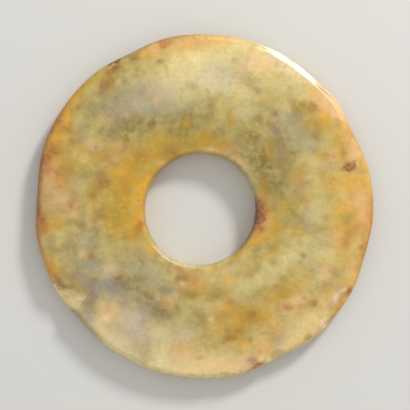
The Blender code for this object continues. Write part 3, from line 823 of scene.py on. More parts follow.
        (1, 27, 3, 1.8, 0.4, 10), (-3.4, 45.1, 1.5, 1.1, 0.3), (-4.5, 45.5, 1.8, 1.6, 0.3),
        (-16.9, 54.6, 1.4, 1.6, 0.35), (-17.2, 55, 1.5, 1.3, 0.55, 0, 2), (-12, 20.3, 3.4, 1.4, 0.7, 20),
        (-34, 53.5, 2.4, 2, 0.95, 60), (-14, 21.5, 4.4, 2, 0.4, 25), (-13.5, 20.3, 3, 1.3, 0.35, 30),
        (-35.6, 50.3, 3, 1.8, 0.8, 50), (-33, 45.6, 1.6, 1.2, 0.25), (-12.5, 17, 2, 1.6, 0.25, -30),
        (-36.6, 47, 3, 1.4, 0.55, 45), (-37.6, 46.4, 3, 1.4, 0.5, 48), (-16.3, 17.7, 3, 1.8, 0.2, -45),
        (-24, 19, 3.2, 2.2, 0.55, 20), (-31, 22, 3, 1.6, 0.4, 10), (-53, 29.5, 2.8, 2, 0.65, 20),
        (-41, 22, 3, 2.4, 0.35), (-36, 19, 4, 2.4, 0.45, 10), (-27, 14, 4, 3, 0.2, 60),
        (-50, 25, 1.7, 1.6, 0.55), (-57, 22, 3, 2.2, 0.25), (-57, 21.5, 3.4, 2.2, 0.85, 10),
        (-39, 14, 2, 1.6, 0.3), (-53, 15, 4, 3, 0.45, 60), (-30, 8, 3, 2, 0.35, 90), (-40, 10, 3.4, 3, 0.4),
        (-38.5, 9.4, 2.2, 1.8, 0.5, 60), (-55, 13, 2.6, 2, 0.2), (-56.5, 13, 2.6, 2.6, 0.4),
        (-38, 8.6, 3.4, 1.5, 0.55), (-55, 11, 3, 2.2, 0.3), (-49, 5, 3, 3, 0.25), (-42, 4, 2, 1.8, 0.4, 60),
        (-50.9, 0.4, 1.8, 2.2, 0.25), (-58, -1, 2.6, 1.8, 0.25), (-38.5, -4, 2.2, 1.4, 0.55),
        (-42, -5.5, 1.4, 1.2, 0.45), (-25.5, -8.5, 3, 2, 0.55, 60), (-53, -21, 2, 4, 0.2),
        (-30, -12, 1.6, 1.4, 0.45), (-43, -18.7, 1.9, 1.4, 0.55, 20), (-55.4, -28.4, 2.6, 1.5, 0.8, -60),
        # The thin patch at (-50, -31.3) is painted shadow along the upper wall of the splinter's scar.
        (-50, -31.3, 4.6, 0.9, 0.45, -12), (-43, -30, 2.4, 1.5, 0.15, 70), (-42.6, -35.2, 2, 1.5, 0.2, 60),
        (-33, -27.3, 1.8, 1.1, 0.45), (-32.2, -28, 2.2, 1.4, 0.4, -10), (-10, -24, 3, 1.7, 0.4, -15),
        (-15, -37.3, 3, 1.4, 0.3, -10), (-9, -27.5, 2.8, 1.6, 0.55, 30), (-9, -32, 2, 1.6, 0.45),
        (-4, -28, 2.6, 2, 0.3), (-4.5, -33, 3.2, 1.8, 0.55), (-1.6, -57.9, 1.3, 1, 0.4),
        (0, -57, 4, 1.8, 0.15), (0.5, -46, 1.5, 1.2, 0.35), (10, -55, 4, 1.8, 0.25), (8, -41, 2.4, 1.6, 0.45),
        (10, -50, 2.8, 2, 0.75), (13, -47, 2.8, 2, 0.7, 10), (10.5, -37, 2.6, 1.6, 0.4, 10),
        (17, -44, 2, 1.4, 0.3), (18, -41, 3.2, 2.4, 0.7, 20), (30, -38, 2.6, 2, 0.25),
        (31.6, -38.4, 2.4, 1.5, 0.55), (27, -30.4, 2, 1.1, 0.55), (30, -32.8, 3.2, 2, 0.4),
        (41.5, -37, 1.9, 1.6, 0.8), (49, -42.3, 1.4, 1, 0.7, 60), (49, -36.8, 2.4, 1.5, 0.45, 50),
        (58.5, -23, 2.4, 1.4, 0.45, 70), (61.5, -16.5, 3, 1.3, 0.7, 78), (53.5, -14, 1.4, 2, 0.4),
        (55, -11, 3, 2.2, 0.55, 80), (58.5, -8, 2.6, 2, 0.45, 60), (54.4, -5.5, 2, 1.8, 0.5),
    ),
    Tint.RUSSET: bands(
        (96, 3, 2, 0.35), (103, 2.4, 3.4, 0.3), (150, 10, 0.8, 0.5), (160, 22, 1.8, 0.7), (187, 10, 1.5, 0.8),
        (346, 20, 0.9, 0.4), (356, 7, 1.2, 0.4),
    # The bands at the hole's edge, from 336 to 350 degrees, are painted shade of the hole's right wall, which
    # faces away from the lamp, over the red-brown stain there.
    ) + bands((336, 26, 1, 0.5), (345, 17, 1.7, 0.4), (350, 14, 2.4, 0.35), at_hole=True) + patches(
        (21.2, 2.4, 2.4, 1.5, 0.45, 85), (37.6, 8.8, 1.7, 1.2, 0.25, 90), (54, 15.6, 1.2, 1, 0.35),
        (60.3, 20, 3, 1, 0.55, 110), (57.5, 26, 4, 1.2, 0.55, -66), (40.6, 37.8, 1.5, 1.2, 0.45),
        (-14.8, 61.8, 2.8, 1.7, 0.85, 15), (-26, 58.6, 3, 1, 0.45, 22), (-56, 33, 3.4, 1.2, 0.9, 60),
        (-57.5, 21, 2.6, 1.6, 0.3), (-60, 19.5, 4, 1.7, 0.85, 75), (-60, 15, 4, 1.8, 0.5, 80),
        (-55, 8, 8, 7, 0.08), (-54.5, 7, 2, 3.4, 0.15), (-51, 0.2, 1.7, 2.2, 0.45, 20),
        (-62, -5, 5, 1.7, 0.8, 90), (-61, -8.5, 2.4, 1.2, 0.55, 90), (-24.5, -7.5, 2.6, 1.6, 0.5, 70),
        (-58.5, -23.5, 3, 1.2, 0.45, 110), (-43.3, -18.8, 1.5, 1.1, 0.2), (-56.4, -27, 3.4, 1.2, 0.4, -60),
        (-53, -26, 2.5, 2, 0.15), (-36.5, -39.4, 1.8, 1.3, 0.25), (-10, -24.3, 2.8, 1.4, 0.35, -20),
        (-14.5, -36.9, 2.2, 1.3, 0.3, -10), (-7, -30, 3, 2.4, 0.14), (-5, -24.5, 2.4, 1.5, 0.1),
        (-4, -28, 4, 2, 0.12, -20), (18.8, -61.6, 2.8, 1.4, 0.95, 20), (19.5, -60, 3, 1.8, 0.25),
        (21.2, -59.6, 1.4, 1.1, 0.85, 20), (31.8, -38.6, 2.2, 1.3, 0.25), (30, -32, 2, 1.2, 0.15),
        (49.4, -42.4, 1.4, 0.9, 0.55, 50), (54, -36, 4, 4, 0.12), (55, -36, 3.5, 2, 0.2, 60),
        (52, -33.5, 2.6, 2, 0.35, 60), (55.3, -32.3, 1.6, 1.3, 0.85, 60), (22, -8.6, 1.9, 1.2, 0.8, 20),
        (61.6, -18.5, 2.4, 1, 0.7, 75), (20, -6, 4, 5, 0.09), (61, -14, 3, 1.2, 0.55, 80),
        (21, -4.4, 4, 2, 0.25, 85), (22, -3, 4, 2.4, 0.7, 85), (62, -3, 4, 1.4, 0.4, 88),
        (23, -1, 4, 1.6, 0.35, 90),
    ),
    Tint.UMBER: bands(
        # The band at 224 degrees is painted shade along the lower-left rim, and those at 166 and 175 degrees
        # darken the left rim's outermost line: painted shade over its brown rind.
        (112, 14, 0.8, 0.5), (122, 1.5, 2, 0.3), (166, 16, 0.8, 0.6), (175, 5, 0.8, 0.5), (224, 9, 0.7, 0.3),
        (345, 12, 0.6, 0.4),
    # The bands at the hole's edge from 320 to 352 degrees, and the patches at (21.3, 0.5), (22.6, 1), (20.6,
    # -6) and (21.2, -4.4), are painted shade of the hole's right wall over its red-brown stain.
    ) + bands(
        (320, 22, 0.9, 0.5), (340, 14, 0.8, 0.35), (350, 13, 1, 0.45), (351, 13, 1.3, 0.7),
        (352, 11, 1.6, 0.45), at_hole=True,
    ) + patches(
        (21.3, 0.5, 2.4, 1.3, 0.35, 100), (22.6, 1, 1.6, 1.2, 0.2, 90), (55, 14.6, 2.3, 1.6, 0.3, 10, 2),
        (55.2, 15, 2.1, 1.5, 0.25, 10, 2), (-33.6, 53.9, 1.7, 1.4, 0.4, 60), (-61.8, 16, 4, 1.2, 0.55, 82),
        # The patches at (-55.6, -29) and (-54, -31) are painted shadow along the upper wall of the splinter's
        # scar.
        (-63, -4, 4.4, 1, 0.5, 90), (-55.6, -29, 1.3, 0.9, 0.4), (-54, -31, 1.4, 0.9, 0.35),
        (18.8, -58.6, 2.2, 1.6, 0.45), (20.6, -6, 2.4, 1.3, 0.5, 70), (21.2, -4.4, 3.6, 1.5, 0.45, 85),
    ),
    # The bands at 58 and 60 degrees are a painted glow beside the rim's highlight, and the band at the hole's
    # edge is a painted highlight on the hole's lower-left edge, which faces the lamp.
    Tint.CHALK: bands((58, 11, 5.5, 0.35), (60, 9, 4.5, 0.18)) + bands(
        (240, 24, 1, 0.45), at_hole=True,
    ) + patches(
        (11, 45, 4, 3, 0.15), (3, 49, 8, 5, 0.22), (-32.8, 46.9, 1.5, 1.3, 0.25, -40),
        (-53, -33, 1.4, 0.9, 0.3, -40), (-47.6, -35, 1.4, 0.9, 0.3), (-50.2, -37.3, 2, 1.3, 0.35, -30),
        (-37, -42.3, 1, 1.4, 0.2), (-17.6, -35.2, 1.3, 1.1, 0.12), (-16.5, -59.5, 1.8, 1.2, 0.4),
        (-7.8, -29.5, 1.2, 1, 0.18), (-9, -49, 3.4, 2.6, 0.15), (2.6, -42.6, 1.1, 0.9, 0.25),
        (14.8, -53.3, 1, 0.8, 0.25), (21.6, -58, 1.3, 0.9, 0.45, 20), (45.4, -43.9, 1.6, 1, 0.6, 30),
        (49.6, -35.3, 2.2, 1.3, 0.6, 62), (53, -31.8, 1.6, 1, 0.4, 30),
    ),
}


@dataclass(frozen=True)
class Pores:
    """The stone's pores. They bend the outlines of the stains and carry them into the stone."""

    slow: tuple[float, int] = (7.0, 3)  # cell and layers of the noise that makes the slow bends
    quick: tuple[float, int] = (1.7, 2)  # and of the one that makes the quick bends
    starts: tuple[float, float] = (11.0, 83.0)  # shifts of the two fields that bend x and y
    slow_bend: float = 0.8
    quick_bend: float = 0.6
    edge_bend: float = 2.4  # in place of the quick bend, down the rim and the hole's wall
    small_length: float = 2.5  # a patch shorter than this is small: it bends less, and soaks in less
    small_slow_bend: float = 0.2
    small_quick_bend: float = 0.4
    band_soak: float = 0.8  # share of a stain that shows on the lower half
    patch_soak: float = 0.6

    def bend(self, points: Array, upper: Array, clouds: CloudNoise) -> tuple[Array, Array]:
        """Move places on the ground by slow and quick noise, so that the outlines read there wander.

        Args:
            points: Points on the surface.
            upper: How far up the upper half each one is.
            clouds: Noise to read.

        Returns:
            Rows of x and y at which to read the broad stains, and rows for the small ones.
        """
        slow, quick = (np.stack([clouds.layered(points + start, *noise) for start in self.starts], axis=-1)
                       for noise in (self.slow, self.quick))
        quick_bend = self.edge_bend + (self.quick_bend - self.edge_bend) * upper
        return (points[..., :2] + self.slow_bend * slow + quick_bend[..., None] * quick,
                points[..., :2] + self.small_slow_bend * slow + self.small_quick_bend * quick)

    def soaked(self, share: float, upper: Array) -> Array:
        """Share of a stain that shows: the given one on the lower half, and all of it at the crest."""
        return share + (1 - share) * upper


@dataclass(frozen=True)
class Wear:
    """What breaks and weathering do to the stone's colour and polish, with painted light on the flakes'
    scoops.
    """

    split_depth: float = 0.16  # at which the splinter's scar has the full cream of a break
    struck_depth: float = 0.4  # and at which a flake's scar has it
    most_cream: float = 0.8
    dull_depth: float = 0.25  # at which a break has lost the whole polish
    weathered_dull: float = 0.8  # how dull the peach weathering is, where 1 is as dull as a break

    def cream(self, split: Array, struck: Array) -> Array:
        """Cover of cream on the breaks, which grows with how deep they are."""
        # On the flakes' scoops the cream is partly painted light: it keeps scoops that turn from the lamp
        # from falling dark, over the fresh break's own paler colour.
        return np.clip(split / self.split_depth + struck / self.struck_depth, 0, self.most_cream)

    def dull(self, broken: Array, weathered: Array) -> Array:
        """How dull the stone is: it grows with the depth of a break and with the cover of peach."""
        return np.clip(broken / self.dull_depth + self.weathered_dull * weathered, 0, 1)


# ---------------------------------------------------------------------------------------------
# Finishes
# ---------------------------------------------------------------------------------------------

Tree, Socket = bpy.types.NodeTree, bpy.types.NodeSocket
MIX_A, MIX_B, MIX_RESULT = 6, 7, 2  # a Mix node's colour sockets
NOISE_MIDDLE = {"From Min": 0.32, "From Max": 0.68}  # where most of a noise's values lie


def fill_node(tree: Tree, node: bpy.types.Node, links: dict[Any, Any], values: dict[Any, Any]) -> None:
    """Set a node's plain inputs and link the others.

    Args:
        tree: Node tree that it is in.
        node: The node.
        links: Output socket for each input, by the input's name or number.
        values: Plain value for each input, by the input's name or number.
    """
    for socket, value in values.items():
        node.inputs[socket].default_value = value
    for socket, source in links.items():
        tree.links.new(source, node.inputs[socket])


def add_node(tree: Tree, kind: str, links: dict[Any, Any] | None = None,
             values: dict[Any, Any] | None = None, **settings: Any) -> bpy.types.Node:
    """Add a node with its settings, its inputs' values and the links into it.

    Args:
        tree: Node tree to add to.
        kind: Blender's name of the node type.
        links: Output socket for each input, by the input's name or number.
        values: Plain value for each input, by the input's name or number.
        settings: The node's own properties.

    Returns:
        The new node.
    """
    node = tree.nodes.new(kind)
    for setting, value in settings.items():
        setattr(node, setting, value)
    fill_node(tree, node, links or {}, values or {})
    return node


class Grain(Enum):
    """The noises in the stone, by the size in mm of what they draw."""

    CLOUD = 5.0
    MOTTLE = 2.4
    SPECK = 1.3
    FELT = 0.5  # the real fibres are finer, and are drawn as coarse as they need to show


@dataclass(frozen=True)
class TintFinish:
    """How one tint shows in the stone."""

    tint: Tint
    colour: str
    grain: Grain  # what it breaks up into
    ragged: float  # 0 is an even veil, 1 breaks up fully


@dataclass(frozen=True)
class SpeckFinish:
    """Specks of one colour. They lie where the noise passes from one value to another."""

    colour: str
    start: float  # value at which they set in
    full: float  # value at which they have their whole strength


@dataclass(frozen=True)
class NephriteFinish:
    """Nephrite: a tough felted jade, ground with sand and polished, later stained by iron and weathered.

    The polish is waxy and a little uneven, light goes a short way into the stone, and the
    colour is cloudy because the stains followed its pores. Breaks are duller than the polish,
    and the pits are darker, the more so the deeper they are.
    """

    light_jade: str = "#d5c073"
    deep_jade: str = "#9d893f"
    pit_darkening_colour: str = "#6b4a2c"
    noise_detail: float = 3.0
    noise_roughness: float = 0.55
    specks: tuple[SpeckFinish, ...] = (SpeckFinish("#7d6430", 0.55, 0.3), SpeckFinish("#e6d39a", 0.45, 0.7))
    speck_share: float = 0.1
    pit_darkening_share: float = 0.3
    roughness: tuple[float, float] = (0.2, 0.34)  # of the uneven polish, least and most
    break_roughness: float = 0.2  # added to it on a break
    felt_height: float = 0.012 * MM
    ior: float = 1.61
    depth: float = 3.0 * MM  # that light goes into the stone
    depth_colours: tuple[float, float, float] = (1.0, 0.7, 0.35)  # share of it for red, green and blue
    depth_share: float = 0.25
    tints: tuple[TintFinish, ...] = (
        TintFinish(Tint.PALE, "#d2c686", Grain.MOTTLE, 0.45),
        TintFinish(Tint.CREAM, "#f5e09c", Grain.MOTTLE, 0.3),
        TintFinish(Tint.SAGE, "#a69c80", Grain.MOTTLE, 0.45),
        TintFinish(Tint.OLIVE, "#7f6d22", Grain.MOTTLE, 0.5),
        TintFinish(Tint.LILAC, "#cbbaa2", Grain.MOTTLE, 0.3),
        TintFinish(Tint.MAUVE, "#957f68", Grain.MOTTLE, 0.45),
        TintFinish(Tint.SLATE, "#8e8683", Grain.MOTTLE, 0.4),
        TintFinish(Tint.GOLD, "#c59a00", Grain.MOTTLE, 0.5),
        TintFinish(Tint.AMBER, "#e9aa18", Grain.MOTTLE, 0.5),
        TintFinish(Tint.PEACH, "#f3c088", Grain.MOTTLE, 0.45),
        TintFinish(Tint.OCHRE, "#a06c18", Grain.SPECK, 0.6),
        TintFinish(Tint.RUSSET, "#b0600c", Grain.SPECK, 0.6),
        TintFinish(Tint.UMBER, "#662c1c", Grain.SPECK, 0.5),
        TintFinish(Tint.CHALK, "#fdeed0", Grain.SPECK, 0.5),
    )

    def material(self) -> bpy.types.Material:
        """Make the material: the stone's colour, its polish and the felt.

        Returns:
            The new material.
        """
        stone = bpy.data.materials.new("nephrite_waxy_polish")
        stone.use_nodes = True
        tree = stone.node_tree
        place = add_node(tree, "ShaderNodeTexCoord").outputs["Object"]
        noise = {grain: add_node(tree, "ShaderNodeTexNoise", {"Vector": place},
                                 {"Scale": 1 / (grain.value * MM), "Detail": self.noise_detail,
                                  "Roughness": self.noise_roughness}).outputs["Fac"] for grain in Grain}
        felt = add_node(tree, "ShaderNodeBump", {"Height": noise[Grain.FELT]}, {"Distance": self.felt_height})
        fill_node(tree, tree.nodes["Principled BSDF"],
                  {"Base Color": self.colour(tree, noise), "Roughness": self.polish(tree, noise),
                   "Normal": felt.outputs["Normal"]},
                  {"IOR": self.ior, "Subsurface Weight": self.depth_share,
                   "Subsurface Radius": self.depth_colours, "Subsurface Scale": self.depth})
        return stone

    def colour(self, tree: Tree, noise: dict[Grain, Socket]) -> Socket:
        """Lay each tint's veil over the clouded jade, then the specks, then a darker colour in the pits.

        Args:
            tree: The material's node tree.
            noise: Value of each noise.

        Returns:
            The colour's socket.
        """
        cloudy = add_node(tree, "ShaderNodeMapRange", {"Value": noise[Grain.CLOUD]}, NOISE_MIDDLE)
        jade = add_node(tree, "ShaderNodeMix", {"Factor": cloudy.outputs["Result"]},
                        {MIX_A: linear(self.deep_jade), MIX_B: linear(self.light_jade)}, data_type="RGBA")
        veils = [(self.stain_share(tree, noise, finish), finish.colour) for finish in self.tints]
        for speck in self.specks:
            share = add_node(tree, "ShaderNodeMapRange", {"Value": noise[Grain.SPECK]},
                             {"From Min": speck.start, "From Max": speck.full, "To Max": self.speck_share})
            veils.append((share.outputs["Result"], speck.colour))
        # Darker colour in the pits, in step with how deep they are.
        pitted = add_node(tree, "ShaderNodeAttribute", attribute_name="pitted")
        pit_darkened = add_node(tree, "ShaderNodeMath", {0: pitted.outputs["Fac"]}, {1: self.pit_darkening_share},
                          operation="MULTIPLY")
        veils.append((pit_darkened.outputs["Value"], self.pit_darkening_colour))
        colour = jade.outputs[MIX_RESULT]
        for share, veil in veils:
            colour = add_node(tree, "ShaderNodeMix", {"Factor": share, MIX_A: colour}, {MIX_B: linear(veil)},
                              data_type="RGBA").outputs[MIX_RESULT]
        return colour

    def stain_share(self, tree: Tree, noise: dict[Grain, Socket], finish: TintFinish) -> Socket:
        """Break a tint's cover up with its grain: cover times a noise about one, and no more than one.

        Args:
            tree: The material's node tree.
            noise: Value of each noise.
            finish: How the tint shows.

        Returns:
            The socket of the share that the tint has of the colour.
        """
        stain = add_node(tree, "ShaderNodeAttribute", attribute_name=f"stain_{finish.tint.value}")
        grain = add_node(tree, "ShaderNodeMapRange", {"Value": noise[finish.grain]},
                         NOISE_MIDDLE | {"To Min": 1 - finish.ragged, "To Max": 1 + finish.ragged})
        share = add_node(tree, "ShaderNodeMath", {0: stain.outputs["Fac"], 1: grain.outputs["Result"]},
                         operation="MULTIPLY", use_clamp=True)
        return share.outputs["Value"]

    def polish(self, tree: Tree, noise: dict[Grain, Socket]) -> Socket:
        """Make the polish a little uneven, and duller where the stone is broken or weathered.

        Args:
            tree: The material's node tree.
            noise: Value of each noise.

        Returns:
            The roughness's socket.
        """
        low, high = self.roughness
        uneven = add_node(tree, "ShaderNodeMapRange", {"Value": noise[Grain.MOTTLE]},
                          NOISE_MIDDLE | {"To Min": low, "To Max": high})
        dull = add_node(tree, "ShaderNodeAttribute", attribute_name="dull")
        worn = add_node(tree, "ShaderNodeMath", {0: dull.outputs["Fac"], 2: uneven.outputs["Result"]},
                        {1: self.break_roughness}, operation="MULTIPLY_ADD")
        return worn.outputs["Value"]


@dataclass(frozen=True)
class PaperFinish:
    """Matt studio paper, pale and even."""

    colour: str = "#dcdad4"
    roughness: float = 0.9

    def material(self) -> bpy.types.Material:
        """Make the material.

        Returns:
            The new material.
        """
        paper = bpy.data.materials.new("matt_studio_paper")
        paper.use_nodes = True
        fill_node(paper.node_tree, paper.node_tree.nodes["Principled BSDF"], {},
                  {"Base Color": linear(self.colour), "Roughness": self.roughness})
        return paper


# ---------------------------------------------------------------------------------------------
# The disc
# ---------------------------------------------------------------------------------------------

@dataclass
class BiDisc:
    """The disc as one closed surface: the section carried round the hole, then worn, chipped, stained and
    given painted light and shade.
    """

    outline: Outline = Outline()
    bore: Bore = Bore()
    section: Section = Section()
    relief: Relief = Relief()
    splinter: Splinter = Splinter()
    nibbles: Nibbles = Nibbles()
    pits: PitField = PitField()
    pores: Pores = Pores()
    wear: Wear = Wear()
    finish: NephriteFinish = NephriteFinish()
    flakes: tuple[Flake, ...] = (
        Flake(122, 4.0, 0.8), Flake(277, 3.0, 1.1), Flake(296, 6.0, 1.5),
        Flake(316, 3.5, 0.7), Flake(328, 5.0, 0.9),
    )
    flake_roughness: float = 0.02  # as a share of the ball's radius
    flake_rough_size: float = 0.9
    bevels: tuple[Bevel, ...] = (Bevel(65.5, 59.0), Bevel(52.0, 52.5), Bevel(38.0, 30.0))
    turn_steps: int = 616
    fine_turn_steps: int = 3601  # from which they are picked, a tenth of a degree apart
    map_radius: float = 0.285  # of each ring on the map, whose side is 1
    map_middle: float = 0.2929
    name: str = "bi_disc"
    noise_seed: int = 7
    centre: Array = field(init=False)
    angle: Array = field(init=False)
    loop: Array = field(init=False)
    part: Array = field(init=False)

    def __post_init__(self) -> None:
        """Work out the blank's centre, the sections' directions, their loop and where its points lie."""
        outer = self.outline.blank_radius
        self.centre = self.outline.centre()
        self.angle = self.turns()[:, None]
        self.loop = self.section.loop(outer, self.bore)
        self.part = ((self.loop[:, 0] - self.bore.radius) / (outer - self.bore.radius))[None, :]

    def turns(self) -> Array:
        """Directions of the sections, which stand closer together across the splinter's scar.

        Their density is one plus a flat-topped bell about the scar, and its running sum shares them out.

        Returns:
            One direction a section, in radians.
        """
        fine = np.linspace(0, 2 * pi, self.fine_turn_steps)
        total = np.cumsum(1 + flat_bell(fine, self.splinter.crowd_middle, self.splinter.crowd_spread))
        return np.interp(np.linspace(total[0], total[-1], self.turn_steps, endpoint=False), total, fine)

    def plan(self, angle: Array, part: Array) -> Array:
        """Place on the ground, part of the way from the hole's waist out to the rim.

        Args:
            angle: Directions in radians.
            part: 0 at the waist and 1 at the rim's outermost line.

        Returns:
            Rows of x and y.
        """
        way = heading(angle)
        inner = self.centre + np.array(self.bore.offset) + way * self.bore.waist(angle)[..., None]
        outer = self.centre + way * self.outline.radius(angle)[..., None]
        return inner + (outer - inner) * part[..., None]

    def body(self) -> tuple[Array, Array]:
        """Carry the section round the hole, and lay the broad relief on the upper face.

        Returns:
            The grid of points, and how far up the upper half each one is.
        """
        flat = self.plan(*np.broadcast_arrays(self.angle, self.part))
        height = np.broadcast_to(self.loop[:, 1], flat.shape[:-1])
        upper = self.upper(height)
        height = height + upper * self.relief.broad(flat)
        return np.concatenate([flat, height[..., None]], axis=-1), upper

    def upper(self, height: Array) -> Array:
        """How far up the upper half a height is, from 0 at the rim's line to 1 at the crest."""
        low, high = self.section.rim_height, self.section.thickness
        return np.clip((height - low) / (high - low), 0, 1)

    def edge_distance(self, at_hole: bool) -> Array:
        """Distance on the ground of each grid point from the hole's waist or from the rim.

        Args:
            at_hole: Whether to measure from the waist.

        Returns:
            One distance a grid point.
        """
        span = self.outline.radius(self.angle) - self.bore.waist(self.angle)
        part = np.clip(self.part, 0, 1)
        return span * (part if at_hole else 1 - part)

    def face_point(self, facing: float, inset: float) -> Array:
        """Find a point of the upper face with its broad relief.

        Args:
            facing: Its direction in degrees.
            inset: How far inside the rim it is.

        Returns:
            Its x, y and z.
        """
        turn = np.array(radians(facing))
        place = self.centre + heading(turn) * (self.outline.radius(turn) - inset)
        height = self.section.face_height(self.outline.blank_radius, self.outline.blank_radius - inset)
        return np.array([*place, height + self.upper(height) * self.relief.broad(place)])

    def normals(self, points: Array) -> Array:
        """Outward unit normals, from the cross product of the differences along the two grid lines.

        Args:
            points: The grid of points.

        Returns:
            One normal a point.
        """
        round_way = np.roll(points, -1, axis=0) - np.roll(points, 1, axis=0)
        down_way = np.roll(points, -1, axis=1) - np.roll(points, 1, axis=1)
        normal = np.cross(down_way, round_way)
        return normal / np.linalg.norm(normal, axis=-1, keepdims=True)

    def drill(self, points: Array) -> Array:
        """Mark the hole's wall: rings left by the grit, and the small step where the two drillings meet.

        The rings are a sine of the height whose phase drifts once round the wall. The lower drilling
        is moved sideways by the step. Both fade out as a bell curve of the distance from the wall.

        Args:
            points: The grid of points.

        Returns:
            The points with the marks.
        """
        bore = self.bore
        near = np.exp(-(self.edge_distance(True) / bore.mark_reach) ** 2)
        rings = bore.ring_depth * np.sin(2 * pi * points[..., 2] / bore.ring_spacing + self.angle)
        way = heading(np.broadcast_to(self.angle, near.shape))
        moved = points.copy()
        moved[..., :2] += (near * rings)[..., None] * way
        below = 1 / (1 + np.exp((points[..., 2] - self.section.thickness / 2) / bore.step_blend))
        moved[..., 0] += bore.step * near * below
        return moved

    def grind_bevels(self, points: Array) -> Array:
        """Bring the rim's upper edge to the flat of each bevel.

        The flat starts on the face, its width inside the outline, and falls outward. Points above it
        drop onto it, and the rounded edge is filled out to it close to the outline. Its ends fade
        out along the rim as a flat-topped bell.

        Args:
            points: The grid of points.

        Returns:
            The points with the bevels.
        """
        moved = points.copy()
        inset = self.edge_distance(False)
        for bevel in self.bevels:
            inner = self.face_point(bevel.middle, bevel.width)
            out = (moved[..., :2] - inner[:2]) @ heading(np.array(radians(bevel.facing)))
            change = inner[2] - tan(radians(bevel.tilt)) * out - moved[..., 2]
            full = np.clip((moved[..., 2] - self.section.rim_height) / bevel.arris_rise, 0, 1)
            full = full * np.clip(2 - 2 * inset / bevel.arris_width, 0, 1)
            share = flat_bell(self.angle, bevel.middle, bevel.half_spread)
            moved[..., 2] += share * np.where(change > 0, change * full, change)
        return moved

    def roughen(self, points: Array, clouds: CloudNoise) -> Array:
        """Move the surface along its normals by its fine relief."""
        return points + self.relief.fine(points, clouds)[..., None] * self.normals(points)

    def break_splinter(self, points: Array, clouds: CloudNoise) -> tuple[Array, Array]:
        """Lower the rim to the splinter's scar.

        The scar is a plane that falls outward from its inner corner. Beyond the two lines that leave
        the corner it rises as its walls. Points above it drop onto it.

        Args:
            points: The grid of points.
            clouds: Noise that roughens the scar.

        Returns:
            The points, and how far each one dropped.
        """
        cut = self.splinter
        corner = self.face_point(cut.facing, cut.reach)
        offset = points[..., :2] - corner[:2]
        fall = offset @ heading(np.array(radians(cut.fall_heading)))
        sides = np.radians([cut.heading - cut.opening / 2 - 90, cut.heading + cut.opening / 2 + 90])
        outside = np.maximum((offset @ heading(sides).T).max(axis=-1), 0)
        floor = corner[2] - cut.fall * fall + outside / tan(radians(cut.wall))
        floor += cut.rough_height * clouds.layered(points, cut.rough_size)
        drop = np.maximum(points[..., 2] - floor, 0)
        moved = points.copy()
        moved[..., 2] -= drop
        return moved, drop

    def flake_spot(self, flake: Flake) -> tuple[Array, Array]:
        """Find where on the rounded rim a flake left.

        Args:
            flake: The flake.

        Returns:
            The place, and the unit vector out of the stone there.
        """
        turn = np.array(radians(flake.facing))
        slant = radians(flake.slant)
        outward = heading(turn)
        inset = self.section.rim_round_width * (1 - cos(slant))
        place = self.centre + outward * (self.outline.radius(turn) - inset)
        height = self.section.rim_height + self.section.rim_half_thickness * sin(slant)
        return np.array([*place, height]), np.array([*(outward * cos(slant)), sin(slant)])

    def strike_flakes(self, points: Array, clouds: CloudNoise) -> tuple[Array, Array]:
        """Press each flake's ball into the edge: points inside a ball move straight out to its surface.

        Args:
            points: The grid of points.
            clouds: Noise that roughens the balls.

        Returns:
            The points, and how far each one moved.
        """
        moved = points.copy()
        for flake in (*self.flakes, *self.nibbles.flakes()):
            spot, out = self.flake_spot(flake)
            middle = spot + out * (flake.scoop - flake.bite)
            offset = moved - middle
            distance = np.linalg.norm(offset, axis=-1)
            ball = flake.scoop * (1 + self.flake_roughness * clouds.at(moved, self.flake_rough_size))
            scale = np.maximum(ball / distance, 1.0)
            moved = middle + offset * scale[..., None]
        return moved, np.linalg.norm(moved - points, axis=-1)

    def dig_pits(self, points: Array, upper: Array) -> tuple[Array, Array]:
        """Sink small round pits into both faces: each is (1 - d^2)^2 deep at d radii from its middle.

        Args:
            points: The grid of points.
            upper: How far up the upper half each one is.

        Returns:
            The points, and each one's depth in a pit as a share of the deepest.
        """
        depth = np.zeros(points.shape[:-1])
        top_side = upper > self.pits.top_from
        low_side = points[..., 2] < self.pits.low_until * self.section.thickness
        for x, y, radius, deep, on_top in self.pits.scatter(self):
            distance = ((points[..., 0] - x) ** 2 + (points[..., 1] - y) ** 2) / radius ** 2
            shape = deep * np.maximum(1 - distance, 0) ** 2
            depth = np.maximum(depth, np.where(top_side if on_top else low_side, shape, 0))
        return points - depth[..., None] * self.normals(points), depth / self.pits.depth

    def stain(self, points: Array, upper: Array, clouds: CloudNoise) -> dict[Tint, Array]:
        """Lay the stains and the painted light and shade on the grid, the covers of one tint added as veils.

        Args:
            points: The grid of points.
            upper: How far up the upper half each one is.
            clouds: Noise that bends the stains.

        Returns:
            For each tint, its cover at each point, from 0 to 1.
        """
        broad, near = self.pores.bend(points, upper, clouds)
        band_soaked, patch_soaked = (self.pores.soaked(share, upper)
                                     for share in (self.pores.band_soak, self.pores.patch_soak))
        small_soaked = np.minimum(2 * upper, 1)
        angle = np.arctan2(*(broad - self.centre)[..., ::-1].transpose(2, 0, 1))
        edge = {at_hole: self.edge_distance(at_hole) for at_hole in (False, True)}
        covers = {}
        for tint, stains in STAINS_AND_PAINTED_LIGHT.items():
            bare = np.ones(upper.shape)
            for mark in stains:
                if isinstance(mark, EdgeBand):
                    cover = mark.cover(angle, edge[mark.at_hole]) * band_soaked
                elif mark.length < self.pores.small_length:
                    cover = mark.cover(near) * small_soaked
                else:
                    cover = mark.cover(broad) * patch_soaked
                bare *= 1 - np.clip(cover, 0, 1)
            covers[tint] = 1 - bare
        return covers

